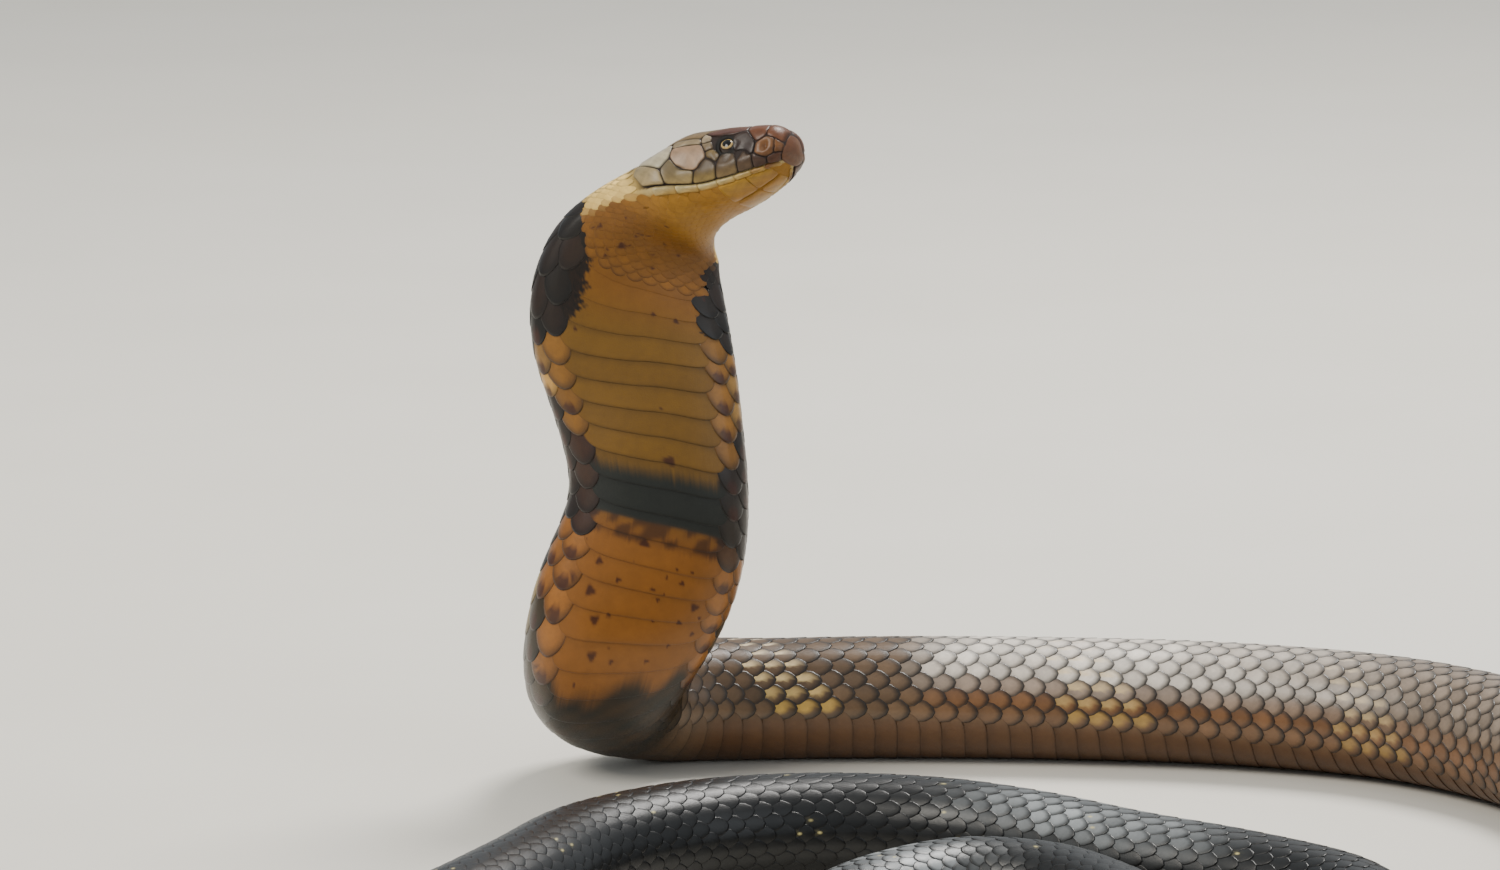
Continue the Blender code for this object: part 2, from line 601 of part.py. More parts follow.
def hood(spine, materials):
    angles = np.linspace(0, 360, 32, endpoint=False)
    draw = np.random.default_rng(SEED)
    names = ("neck", "hood_upper", "hood_middle", "hood_lower", "forebody")
    colours = ("throat", "throat", "throat", "band", "throat")
    for name, colour, start, stop in zip(names, colours, HOOD_CUTS, HOOD_CUTS[1:]):
        solid(name, scuted(spine, start + GAP / 2, stop - GAP / 2, angles, draw), colour, materials)


def lengths(spine, materials):
    """The body from the bend to the tip of the tail."""
    angles = np.linspace(0, 360, 18, endpoint=False)
    fine = np.linspace(0, 360, 28, endpoint=False)
    draw = np.random.default_rng(SEED)
    solid("base_bend", scuted(spine, HOOD_CUTS[-1] + GAP / 2, FLOOR_FROM - GAP / 2, fine, draw), "band", materials)
    cuts = floor_cuts(spine) + [spine.length - 1]
    vent = 0.8 * spine.length
    bodies = sum(1 for c in cuts[:-1] if c < vent)
    for k, (start, stop) in enumerate(zip(cuts, cuts[1:])):
        rings = scuted(spine, start + GAP / 2, stop - GAP / 2, angles, draw)
        name = f"body_{k + 1:02d}" if k < bodies else f"tail_{k + 1 - bodies:02d}"
        solid(name, rings, "body" if start < 1500 else "rear", materials)


def set_origin():
    """Moves the whole model so that the floor under the middle of its outline is the origin."""
    corners = np.array([piece.matrix_world @ vert.co for piece in bpy.data.objects for vert in piece.data.vertices])
    low, high = corners.min(0), corners.max(0)
    shift = Vector((-(low[0] + high[0]) / 2, -(low[1] + high[1]) / 2, -low[2]))
    for mesh in bpy.data.meshes:
        mesh.transform(Matrix.Translation(shift))


def main():
    clear_scene()
    materials = make_materials()
    spine = Spine()
    head(spine, materials)
    hood(spine, materials)
    lengths(spine, materials)
    set_origin()


main()
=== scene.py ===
"""A king cobra, life size, reared with its hood spread: skin, scales, belly plates, head shields and eyes."""

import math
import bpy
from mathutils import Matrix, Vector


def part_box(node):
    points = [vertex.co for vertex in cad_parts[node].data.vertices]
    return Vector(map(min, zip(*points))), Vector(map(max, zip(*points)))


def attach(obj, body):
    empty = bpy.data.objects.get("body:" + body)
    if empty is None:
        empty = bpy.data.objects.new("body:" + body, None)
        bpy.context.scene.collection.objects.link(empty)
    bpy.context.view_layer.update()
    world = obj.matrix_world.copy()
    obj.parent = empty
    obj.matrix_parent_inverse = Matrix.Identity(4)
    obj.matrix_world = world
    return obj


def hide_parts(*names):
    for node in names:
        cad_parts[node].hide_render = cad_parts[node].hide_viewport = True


bl_info = {
    "name": "King cobra model",
    "version": (1, 0, 0),
    "blender": (4, 5, 0),
    "location": "View3D > Sidebar > Cobra",
    "description": "Skin, scales, plates, shields and eyes of a reared king cobra, with its floor, lights and camera",
    "category": "Object",
}

import bpy
import numpy as np
from mathutils import Vector

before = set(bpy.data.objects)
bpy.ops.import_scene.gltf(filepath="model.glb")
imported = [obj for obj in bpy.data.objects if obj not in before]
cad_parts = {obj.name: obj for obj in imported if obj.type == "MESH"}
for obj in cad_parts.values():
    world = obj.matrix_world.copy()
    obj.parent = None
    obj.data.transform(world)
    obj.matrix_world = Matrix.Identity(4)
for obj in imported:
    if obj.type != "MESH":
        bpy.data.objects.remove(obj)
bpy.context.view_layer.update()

# The body's sizes are in millimetres, and its meshes are in metres.
MM = 0.001
FLOOR_SINK = 1.0

# The head: where the snout is, and how it is turned. Angles are in degrees.
SNOUT_TIP = (19.8, -62.0, 288.0)
HEAD_YAW = 33
HEAD_PITCH = 19
HEAD_ROLL = 26

# Head stations: back from the snout, drop of the centre, half width, height above it, depth below it.
HEAD = (
    (0.0, -3.5, 2.5, 3.0, 1.5),
    (0.5, -3.5, 5.5, 5.5, 2.8),
    (1.5, -3.5, 8.3, 7.8, 4.2),
    (3.0, -3.4, 10.2, 9.6, 5.2),
    (5.0, -3.0, 11.6, 11.2, 6.2),
    (10.0, -1.5, 13.5, 14.0, 8.0),
    (18.0, 0.0, 15.5, 16.8, 9.5),
    (26.0, 1.0, 17.2, 19.2, 11.0),
    (36.0, 1.5, 19.2, 20.6, 12.5),
    (48.0, 1.0, 21.8, 20.4, 15.0),
)

# Hood stations: centre x, y, z, then the way to the head as its tilt from level and its lean to the front,
# then the way of the belly as its bearing from the front and its fall, then half width, back and belly depth.
HOOD = (
    (-27, -36, 268, 26, 24, 10, 52, 24.5, 19.0, 18.0),
    (-37, -28, 258, 47, 13, 12, 38, 29.0, 16.5, 18.5),
    (-45.5, -24, 249.5, 66, 4, 14, 20, 35.0, 15.0, 17.0),
    (-52, -23, 239, 82, -4, 14, 8, 39.5, 15.0, 16.0),
    (-55, -25, 226, 93, -6, 13, 4, 42.2, 15.0, 15.5),
    (-53, -30, 205, 100, -6, 9, 0, 43.5, 15.5, 16.0),
    (-47, -36, 181, 100, -6, 4, 0, 41.5, 17.0, 17.0),
    (-42.5, -41, 159, 96, -5, 2, 0, 39.5, 18.0, 18.0),
    (-40, -44, 139, 91, -2, 2, 0, 39.0, 19.0, 19.0),
    (-42, -45, 118.5, 82, 2, 4, 0, 41.0, 20.0, 20.5),
    (-48, -44, 98, 76, 6, 7, 0, 43.0, 21.0, 22.0),
    (-55.5, -43, 78.5, 75, 10, 10, 6, 42.5, 22.0, 23.5),
)

# Bend stations, where the body comes down to the floor: centre, way to the head, way of the belly,
# half width, back and belly depth.
BEND = (
    ((-62, -33, 55), (0.04, -0.52, 0.86), (0.1, -0.85, -0.5), 38.5, 24.5, 26.0),
    ((-63, -14, 39), (-0.30, -0.74, 0.60), (-0.1, -0.66, -0.74), 33.5, 26.5, 28.0),
    ((-50, 4, 31.5), (-0.74, -0.62, 0.26), (-0.1, -0.58, -0.82), 30.0, 27.5, 27.5),
    ((-28, 14, 28), (-0.95, -0.30, 0.06), (0.0, -0.60, -0.80), 28.0, 27.5, 27.0),
)

# Floor route: x and y of the body's middle from the bend round the outer loop, back under the front
# and into the inner loop where the tail ends.
FLOOR_ROUTE = (
    (5, 18), (40, 20), (90, 20), (150, 16), (225, 4), (290, -22), (340, -70), (368, -135), (375, -210),
    (368, -290), (350, -370), (318, -450), (268, -520), (198, -570), (110, -592), (20, -594), (-66, -578),
    (-136, -534), (-168, -472), (-158, -424), (-126, -376), (-95, -310), (-67, -247), (-20, -205), (34, -190),
    (85, -197), (122, -218), (160, -250), (205, -282), (246, -325), (252, -376), (216, -404), (174, -386),
    (148, -330), (120, -292), (90, -283), (58, -302), (24, -352), (0, -402), (-6, -455), (22, -500),
    (80, -520), (142, -508), (192, -478), (236, -458), (272, -436),
)

# Girth along the floor: distance from the snout, half width, back and belly depth.
GIRTH = (
    (420, 27.0, 27.0, 26.5), (620, 28.0, 28.0, 26.5), (1000, 28.5, 28.5, 26.5), (1500, 28.0, 28.0, 26.0),
    (1900, 25.0, 25.0, 23.5), (2150, 22.5, 22.5, 21.5), (2400, 22.0, 21.5, 21.0), (2700, 20.5, 20.0, 19.5),
    (2850, 17.0, 17.0, 16.0), (3000, 12.0, 12.0, 11.0), (3100, 8.0, 8.0, 7.5), (3180, 4.6, 4.6, 4.2),
    (3230, 2.6, 2.6, 2.4), (3300, 1.6, 1.6, 1.5),
)

# The belly of the first floor stretch is rolled to the front by this angle, less and less from one distance to
# the other. From the last distance on, the body is set down on the floor.
ROLL_AT_BEND = 37
ROLL_FROM = 430
ROLL_TO = 900
LYING_FROM = 335

# Squareness of the cross-section, back and belly: 2 is an ellipse.
SQUARE_HEAD = (2.9, 2.3)
SQUARE_HOOD = (2.1, 2.3)
SQUARE_BODY = (2.05, 2.3)

# The line of the mouth, by distance from the snout: its angle round the section from the top.
MOUTH_LINE = ((0, 166), (4.5, 158), (9, 139), (14.5, 131), (21, 126), (26, 123.5), (31.5, 121), (36, 120.5),
              (42.5, 118), (48.5, 113), (54, 108), (60.5, 104.5), (68, 103))

# Eyes and nostrils: distance from the snout and angle from the top, the eye's radius, and how far it stands out.
EYE_AT = (26.2, 74)
EYE_RADIUS = 4.4
EYE_RISE = 1.15
NOSTRIL_AT = (7.6, 89)

# Corners of the head's shields on its right side: distance from the snout and angle from the top. A corner
# on the lip has the line of the mouth as its angle.
LIP = None
CORNERS = {
    "tip_top": (0.9, 0), "tip_brow": (0.6, 46), "tip_side": (0.7, 88), "tip_low": (1.5, 128),
    "tip_lip": (4.0, LIP),
    "nose_top": (3.4, 80), "nose_mid": (3.6, 99), "nose_low": (4.3, 121), "nose_back": (7.6, 121),
    "pit_back": (9.8, 108), "pit_rear": (12.6, 91), "pit_high": (11.6, 81), "pit_top": (6.8, 74),
    "snout_mid": (8.0, 0), "snout_side": (6.6, 52), "brow_mid": (17.0, 0), "brow_inner": (17.6, 24),
    "brow_front": (16.4, 51), "brow_low": (22.6, 61), "brow_eye": (29.6, 59), "brow_back": (33.6, 55),
    "brow_rear": (37.6, 45), "crown_side": (30.0, 21), "crown_mid": (34.5, 0), "orbit_top": (33.0, 65),
    "orbit_rear": (31.8, 76), "orbit_low": (28.6, 85), "orbit_front": (22.4, 85), "cheek_a": (38.6, 57),
    "cheek_b": (38.0, 67), "cheek_c": (35.8, 79), "cheek_d": (35.2, 85), "cheek_e": (38.6, 89.5),
    "lore": (17.6, 86), "lip_a": (13.4, 93), "lip_b": (20.6, 92), "lip_c": (30.4, 90), "lip_d": (40.8, 94),
    "lip_e": (49.6, 88), "lip_f": (56.4, 87), "lip_g": (55.6, 96), "one": (8.6, LIP), "two": (14.2, LIP),
    "three": (21.2, LIP), "four": (31.4, LIP), "five": (42.4, LIP), "six": (54.8, LIP), "seven": (65.6, LIP),
    "temple_a": (48.2, 67), "temple_b": (51.8, 64), "temple_c": (52.0, 78), "temple_d": (52.4, 51),
    "temple_e": (57.2, 44), "temple_f": (66.2, 50), "temple_g": (66.6, 66), "temple_h": (59.6, 81),
    "jaw_back": (68.4, 84), "nape_mid": (55.0, 0), "nape_rear": (68.4, 0), "nape_side": (67.6, 44),
}

# The route is blurred over this many millimetres, apart from the stiff head.
SMOOTH_REACH = 7
HEAD_RIGID_TO = 45
LENGTH = 3188.0

# How far the eyes look forward, as a share of how far they look out.
EYE_FORWARD = 0.32

# Points round an eye, and the distance from its middle that counts for the map and colours behind its front.
EYE_POINTS = 40
EYE_BACK = 5.0

# Millimetres to a degree round the head.
HEAD_DEGREE = 0.33

# Half the gap between the lips, in degrees round the head.
LIP_GAP = 1.2

# Camera: how many degrees it stands over the model and tilts down, its distance, and the width that it takes in.
CAMERA_ABOVE = 14
CAMERA_TILT = 11.563
CAMERA_AWAY = 3500
CAMERA_WIDTH = 675

# Lights: place off the middle of the model in metres, size, power and colour.
LIGHTS = (
    ("key", (-1.7, -1.5, 2.2), 1.4, 88, (1, 0.95, 0.86)),
    ("fill", (2.0, -1.9, 1.2), 1.8, 14, (0.9, 0.95, 1)),
    ("rim", (0.8, 1.0, 2.1), 1.0, 92, (1, 0.97, 0.93)),
)

# The sky's colour and strength, the height in metres that the lights aim at, and the floor's corners.
SKY = (0.80, 0.86, 0.90, 1)
SKY_STRENGTH = 0.62
AIM_HEIGHT = 0.15
FLOOR_CORNERS = ((-6, -5, 0), (6, -5, 0), (6, 9, 0), (-6, 9, 0))

# Shields of one side of the head: corners, how far the middle rises in shares of the shield rise, and the
# colours of the upper and lower part of each.
SHIELDS = {
    "internasal": ("tip_top tip_brow tip_side nose_top pit_top snout_side snout_mid", 0.9, "58321C", "5C351D"),
    "prefrontal": ("snout_mid snout_side pit_top pit_high brow_front brow_inner brow_mid", 0.9, "58321D", "54301A"),
    "supraocular": ("brow_front brow_low brow_eye brow_back brow_rear crown_side brow_inner",
                    1.3, "583722", "42241A"),
    "parietal": ("crown_mid crown_side brow_rear cheek_a temple_d temple_e nape_mid", 1.0, "5B4A34", "6A573B"),
    "occipital": ("nape_mid temple_e temple_f nape_side nape_rear", 0.9, "5C4A32", "6E5B3C"),
    "nasal_front": ("tip_side tip_low nose_low nose_mid nose_top", 0.9, "65401F", "5A381C"),
    "nasal_rear": ("nose_top nose_mid nose_low nose_back pit_back pit_rear pit_high pit_top",
                   1.0, "694525", "5B3A1F"),
    "preocular": ("pit_high pit_rear lip_a lore orbit_front brow_low brow_front", 0.8, "2B1A12", "24150F"),
    "postocular_top": ("brow_back orbit_top cheek_b cheek_a brow_rear", 0.9, "96866B", "84735A"),
    "postocular": ("orbit_top orbit_rear cheek_c cheek_b", 0.8, "6E5F48", "66543E"),
    "postocular_low": ("orbit_rear orbit_low lip_c cheek_d cheek_c", 0.8, "63512F", "57462C"),
    "temporal_top": ("cheek_a cheek_b temple_a temple_b temple_d", 0.9, "63563F", "857458"),
    "temporal": ("cheek_b cheek_c cheek_d cheek_e lip_d lip_e temple_c temple_b temple_a",
                 1.1, "8A7058", "92765A"),
    "temporal_rear": ("temple_d temple_b temple_c lip_f temple_h temple_g temple_f temple_e",
                      1.1, "958B78", "A3997F"),
    "lip_1": ("tip_low tip_lip one nose_back nose_low", 0.7, "452A1D", "4E3325"),
    "lip_2": ("nose_back one two lip_a pit_rear pit_back", 0.8, "3C281D", "3E2A20"),
    "lip_3": ("lip_a two three lip_b lore", 0.8, "42301F", "4A3826"),
    "lip_4": ("lip_b three four lip_c orbit_low orbit_front", 0.8, "443422", "6B5736"),
    "lip_5": ("lip_c four five lip_d cheek_e cheek_d", 0.8, "463724", "786437"),
    "lip_6": ("lip_d five six lip_g lip_f temple_c lip_e", 0.9, "5B4E35", "857147"),
    "lip_7": ("lip_g six seven jaw_back temple_g temple_h lip_f", 0.9, "7E7052", "93805A"),
}

# The lower lip's shields: their ends, how many degrees they reach down, and the colours of their upper edges.
LOWER_LIP = (5.0, 10.5, 16.5, 24.0, 32.0, 41.0, 51.0, 62.0)
LOWER_LIP_REACH = 14
LIP_TONES = ("6A4423", "8F6C38", "A98F58", "B39F6C", "B5A474", "B0A073", "A8976C")

# Start and end of each shield of the chin.
CHIN = ((9.0, 20.0), (20.0, 33.0))

# Spacing of the points round a shield, how many times its corners are rounded off, and the cells each way of
# the shields' baking map.
SHIELD_SPACING = 0.8
SHIELD_ROUND = 4
SHIELD_CELLS = 8

# Half the arc that the belly plates cover, in degrees off the mid belly, by distance from the snout.
BELLY_ARC = ((60, 30), (90, 37), (130, 42), (250, 43), (300, 47), (372, 51), (3300, 51))

# Turns round the body: 7.5 scale rows on each side, then 3 shares of the belly plates to the mid belly.
SIDE_ROWS = 7.5
HALF_TURN = 10.5
FULL_TURN = 21.0

# Width of one row, in millimetres, on the flat ground on which scales are set out.
ROW = 8.3

# How steeply the belly plates and the scale columns slant across the reared part.
SLANT = ((71, 0.0), (100, 0.36), (113, 0.46), (130, 0.4), (150, 0.34), (185, 0.34), (208, 0.21), (240, 0.05),
         (265, -0.12), (300, -0.1), (335, 0.0))

# Spacing of scale columns and belly plates, by distance from the snout.
PITCH = ((30, 5.5), (66, 7.0), (90, 9.0), (115, 11.0), (330, 11.0), (375, 10.4), (2450, 10.4), (2750, 8.5),
         (3000, 5.5), (3188, 3.0))

# Where scales and plates start and stop along the body. The small scales of the neck lie between two turns
# round it, in front of a line that slants back from its column, and the jaws end at a distance of their own.
COLUMN_START = 84
NAPE_FROM = 67
THROAT_FROM = 33
PLATES_FROM = 106
THROAT_TO = 109
JAWS_TO = 68
NECK_COLUMNS = (72.5, 103)
NECK_LINE = 96
NECK_FROM = 2.8
NECK_TURN = 6.6
THROAT_TURNS = (5.0, 16.01)
HOOD_TO = 345
REAR_FROM = 1150
COIL_FROM = 2000
TAIL_FROM = 2750

# Pieces of the back's scales: where each starts and stops, its rows, slot, roughness and gloss coat.
REGIONS = (
    ("hood_scales", NAPE_FROM, HOOD_TO, 15, "throat_scales", 0.36, 0.2),
    ("body_scales", HOOD_TO, REAR_FROM, 19, "body_scales", 0.36, 0.16),
    ("rear_scales", REAR_FROM, COIL_FROM, 19, "rear_scales", 0.36, 0.08),
    ("coil_scales", COIL_FROM, TAIL_FROM, 19, "rear_scales", 0.36, 0.08),
    ("tail_scales", TAIL_FROM, LENGTH - 6, 15, "rear_scales", 0.36, 0.08),
)

# Pieces of the belly's plates: where each starts and stops, the stations across one plate, and its slot.
PLATE_REGIONS = (
    ("hood_plates", PLATES_FROM, HOOD_TO, 121, "throat_scales"),
    ("body_plates", HOOD_TO, REAR_FROM, 33, "body_scales"),
    ("rear_plates", REAR_FROM, LENGTH - 8, 25, "rear_scales"),
)

# Points round one scale of the hood, of the body and of the throat, and the rings on its underside.
SCALE_SHAPES = ((26, (0.5,)), (12, ()), (12, (0.35, 0.7)))

# Seeds of what falls by chance.
SKIN_SEED = 5
PLACE_SEED = 3
SCALE_SEED = 20
THROAT_SEED = 40
PLATE_SEED = 11
SPECK_SEED = 31
SHIELD_SEED = 101


def step(value, low, high):
    """A soft step from 0 at low to 1 at high."""
    t = np.clip((value - low) / (high - low), 0, 1)
    return t * t * (3 - 2 * t)


def window(value, start, full, fade, stop):
    """A soft step up from start to full, and back down from fade to stop."""
    return step(value, start, full) * (1 - step(value, fade, stop))


def unit(v):
    """Vectors made one unit long."""
    return v / np.linalg.norm(v, axis=-1, keepdims=True)


def head_axes():
    """The way the head points, and the way its belly side faces."""
    yaw, pitch, roll = (math.radians(a) for a in (HEAD_YAW, HEAD_PITCH, HEAD_ROLL))
    forward = np.array([math.cos(yaw) * math.cos(pitch), -math.sin(yaw) * math.cos(pitch), math.sin(pitch)])
    level = np.array([-math.sin(yaw), -math.cos(yaw), 0.0])
    up = np.cross(level, forward)
    belly = math.sin(roll) * level - math.cos(roll) * up
    return forward, belly


def way(tilt, lean):
    """The direction with this tilt from level and this lean to the front."""
    t, l = math.radians(tilt), math.radians(lean)
    return np.array([math.cos(t) * math.cos(l), -math.sin(l), math.sin(t) * math.cos(l)])


def facing(bearing, fall):
    """The direction with this bearing from the front and this fall."""
    a, d = math.radians(bearing), math.radians(fall)
    return np.array([math.sin(a) * math.cos(d), -math.cos(a) * math.cos(d), -math.sin(d)])


def along(knots, values, at):
    """Smooth interpolation whose slope at each knot is the mean of its neighbours'."""
    knots, values, at = (np.asarray(a, float) for a in (knots, values, at))
    slopes = np.gradient(values, knots, axis=0)
    i = np.clip(np.searchsorted(knots, at, side="right") - 1, 0, len(knots) - 2)
    h = knots[i + 1] - knots[i]
    t = (at - knots[i]) / h
    if values.ndim == 2:
        t, h = t[:, None], h[:, None]
    a, b, slope_a, slope_b = values[i], values[i + 1], slopes[i] * h, slopes[i + 1] * h
    return ((2 * t**3 - 3 * t**2 + 1) * a + (t**3 - 2 * t**2 + t) * slope_a
            + (-2 * t**3 + 3 * t**2) * b + (t**3 - t**2) * slope_b)


def distances(points):
    """How far along their line each point is."""
    return np.concatenate([[0], np.cumsum(np.linalg.norm(np.diff(points, axis=0), axis=1))])


def stations():
    """One row for each station: centre, way to the head, way of the belly, three sizes, two squarenesses."""
    forward, belly = head_axes()
    rows = []
    for back, drop, half, above, below in HEAD:
        centre = np.array(SNOUT_TIP) - forward * back + belly * drop
        rows.append([*centre, *forward, *belly, half, above, below, *SQUARE_HEAD])
    for x, y, z, tilt, lean, bearing, fall, half, back, below in HOOD:
        rows.append([x, y, z, *way(tilt, lean), *facing(bearing, fall), half, back, below, *SQUARE_HOOD])
    for centre, ahead, under, half, back, below in BEND:
        rows.append([*centre, *ahead, *under, half, back, below, *SQUARE_BODY])
    reached = distances(np.array([row[:3] for row in rows]))[-1]
    route = np.array(FLOOR_ROUTE, float)
    ahead = -unit(np.gradient(route, axis=0))
    reached += distances(np.vstack([rows[-1][:2], route]))[1:]
    girth = np.array(GIRTH)
    sizes = along(girth[:, 0], girth[:, 1:], reached)
    roll = np.radians(ROLL_AT_BEND * np.clip((ROLL_TO - reached) / (ROLL_TO - ROLL_FROM), 0, 1))
    for (x, y), (ax, ay), (half, back, below), turn in zip(route, ahead, sizes, roll):
        under = (-ay * math.sin(turn) * np.sign(ax), ax * math.sin(turn) * np.sign(ax), -math.cos(turn))
        under = (under[0] * -1, under[1] * -1, under[2]) if under[1] > 0 else under
        rows.append([x, y, below, ax, ay, 0, *under, half, back, below, *SQUARE_BODY])
    return np.array(rows, float)


def section(sizes, square, angles):
    """Sideways and upward places on cross-sections at angles from the back, and the height of that half."""
    sine, cosine = np.sin(np.radians(angles)), np.cos(np.radians(angles))
    upper = cosine >= 0
    power = 2 / np.where(upper, square[..., 0], square[..., 1])
    height = np.where(upper, sizes[..., 1], sizes[..., 2])
    lat = sizes[..., 0] * np.sign(sine) * np.abs(sine) ** power
    ver = height * np.sign(cosine) * np.abs(cosine) ** power
    return lat, ver, height


class Spine:
    """The body's middle line every millimetre, with the section that it carries there."""

    def __init__(self):
        rows = stations()
        knots = distances(rows[:, :3])
        at = np.arange(0, knots[-1])
        values = self.smoothed(at, along(knots, rows, at))
        self.at = at
        self.ahead = unit(values[:, 3:6])
        under = values[:, 6:9]
        self.belly = unit(under - self.ahead * np.sum(under * self.ahead, 1, keepdims=True))
        self.right = np.cross(self.ahead, -self.belly)
        self.sizes = values[:, 9:12]
        self.square = values[:, 12:14]
        self.centre = values[:, :3]
        self.set_down()

    @staticmethod
    def smoothed(at, values):
        """The route blurred over a few millimetres, apart from the head, which is stiff."""
        n = 3 * SMOOTH_REACH
        weights = np.exp(-0.5 * (np.arange(-n, n + 1) / SMOOTH_REACH) ** 2)
        weights /= weights.sum()
        before = np.repeat(values[:1], n, 0)
        after = 2 * values[-1:] - values[-2:-n - 2:-1]
        padded = np.concatenate([before, values, after])
        soft = np.stack([np.convolve(padded[:, k], weights, "valid") for k in range(values.shape[1])], 1)
        share = np.clip((at - HEAD_RIGID_TO) / 30, 0, 1)[:, None]
        return values * (1 - share) + soft * share

    def set_down(self):
        """Lowers the part that lies, so that each section just sinks into the floor."""
        lat, ver = self.outline(np.arange(0, 360, 5))
        fall = (self.right[:, None, 2] * lat - self.belly[:, None, 2] * ver).min(1)
        rest = -fall - FLOOR_SINK
        share = step(self.at, LYING_FROM, LYING_FROM + 60)
        self.centre[:, 2] = self.centre[:, 2] * (1 - share) + rest * share

    def outline(self, angles):
        """The sideways and upward sizes of the section at each millimetre, for angles from the back."""
        return section(self.sizes[:, None], self.square[:, None], angles)[:2]

    def point(self, distance, angles, lift=0.0):
        """Points on the skin at one distance each and an angle each, lifted off it by some millimetres."""
        distance, angles = np.broadcast_arrays(np.asarray(distance, float), np.asarray(angles, float))
        low = np.clip(np.floor(distance).astype(int), 0, len(self.at) - 2)
        part = (distance - low)[..., None]

        def between(field):
            return field[low] * (1 - part) + field[low + 1] * part

        sizes = between(self.sizes)
        lat, ver, height = section(sizes, between(self.square), angles)
        out = unit(np.stack([lat / sizes[..., 0] ** 2, ver / height**2], -1))
        lat, ver = lat + out[..., 0] * lift, ver + out[..., 1] * lift
        spot = between(self.centre) + between(self.right) * lat[..., None] - between(self.belly) * ver[..., None]
        spot[..., 2] = np.maximum(spot[..., 2], 0.0)
        return spot


def to_linear(code):
    """A colour in linear light from six hexadecimal digits."""
    values = [int(code[k:k + 2], 16) / 255 for k in (0, 2, 4)]
    return tuple(v / 12.92 if v <= 0.04045 else ((v + 0.055) / 1.055) ** 2.4 for v in values)


def size_property(name, text, default, low, high):
    return bpy.props.FloatProperty(name=name, description=text, default=default * MM, min=low * MM, max=high * MM,
                                   unit="LENGTH", precision=5)


def colour_property(name, text, code):
    return bpy.props.FloatVectorProperty(name=name, description=text, subtype="COLOR", size=3, min=0, max=1,
                                         default=to_linear(code))


class CobraSizes(bpy.types.PropertyGroup):
    """Sizes that a user would change."""
    scale_rise: size_property("Scale rise", "How far a scale's free edge stands over the next", 0.75, 0.1, 2.0)
    scale_thickness: size_property("Scale thickness", "Thickness of a scale at its rim", 0.30, 0.05, 1.0)
    scale_overlap: bpy.props.FloatProperty(
        name="Scale overlap", description="Length of a scale as a multiple of the spacing of its columns",
        default=1.62, min=1.0, max=2.5)
    scale_turn: bpy.props.FloatProperty(
        name="Scale unevenness", description="Most that a scale is turned from the line of its row",
        default=0.05, min=0.0, max=0.4, subtype="ANGLE")
    plate_rise: size_property("Belly plate rise", "How far a plate's edge stands over the next", 0.5, 0.1, 2.0)
    shield_rise: size_property("Head shield rise", "How far its middle stands over its seam", 0.62, 0.1, 2.0)
    shield_seam: size_property("Head shield seam", "Half the gap between two head shields", 0.17, 0.02, 1.0)
    pupil: size_property("Pupil", "Radius of the round pupil", 2.0, 0.5, 2.5)
    iris: size_property("Iris ring", "Outer radius of the pale ring round the pupil", 2.72, 0.8, 3.0)


class CobraColours(bpy.types.PropertyGroup):
    """Colours of the skin and its markings, and of the painted sheen on the body and the coil."""
    throat: colour_property("Throat", "Throat under the neck", "714810")
    chin: colour_property("Chin", "Lower jaw and lips", "936616")
    lip: colour_property("Lip", "Pale upper edge of the lower lip", "B49C66")
    hood: colour_property("Hood", "Belly plates of the spread hood", "654712")
    orange: colour_property("Lower throat", "Belly and flanks below the slate band", "7C4D18")
    slate: colour_property("Slate band", "Dark band across the belly plates", "1D1F1B")
    smudge: colour_property("Band edge", "Brown fringe of the dark bands", "301A0D")
    black: colour_property("Hood side", "Large scales at the sides of the hood", "0D0904")
    olive: colour_property("Back of the hood", "Flanks and back of the reared part", "1B1708")
    brown: colour_property("Body", "Scales of the front of the body", "594531")
    # Painted sheen: a pale colour that stands in for light gleaming on the upper side of the lying body.
    painted_sheen: colour_property("Painted body sheen", "Painted sheen of light on the upper side of the lying body", "CFC7BC")
    # The lower flank colour is laid on partly as painted light, and darkened as painted shade on the lying belly.
    rust: colour_property("Lower flank", "Lowest scale rows of the front body", "684528")
    cream: colour_property("Chevron", "Pale scales of the crossbands", "D8B563")
    # Painted sheen: a pale grey that stands in for light gleaming on the upper side of the coil in front.
    painted_coil_sheen: colour_property("Painted coil sheen", "Painted sheen of light on the coil in front", "8A8E90")
    night: colour_property("Rear body", "Scales of the rear body and tail", "0D0E0F")
    fleck: colour_property("Flecks", "Small pale flecks of the rear crossbands", "CDBF82")
    spot: colour_property("Spots", "Small dark spots on throat and belly", "321207")
    seam: colour_property("Seams", "Skin in the seams between head shields", "20140F")


def blend(a, b, share):
    """Colours part way from a to b."""
    share = np.asarray(share, float)[..., None]
    return np.asarray(a) * (1 - share) + np.asarray(b) * share


def bump(value, centre, width):
    """A smooth hill that is 1 at its centre."""
    return np.exp(-((value - centre) / width) ** 2)


def table_at(table, at):
    """A value read from a table of (distance, value)."""
    table = np.array(table, float)
    return np.interp(at, table[:, 0], table[:, 1])


def mouth_at(distance):
    """The angle of the mouth's line at a distance from the snout."""
    return np.interp(distance, *np.array(MOUTH_LINE, float).T)


def folded(angles):
    """Angles off the mid back, the same on both sides."""
    turned = np.asarray(angles, float) % 360
    return np.minimum(turned, 360 - turned)


def off_belly(angles):
    """Degrees off the mid belly, the same on both sides."""
    return np.abs(angles % 360 - 180)


def eye_distance(distance, angle):
    """How far a place on the head is from the middle of the eye on its side."""
    return np.hypot(distance - EYE_AT[0], (angle - EYE_AT[1]) * HEAD_DEGREE)


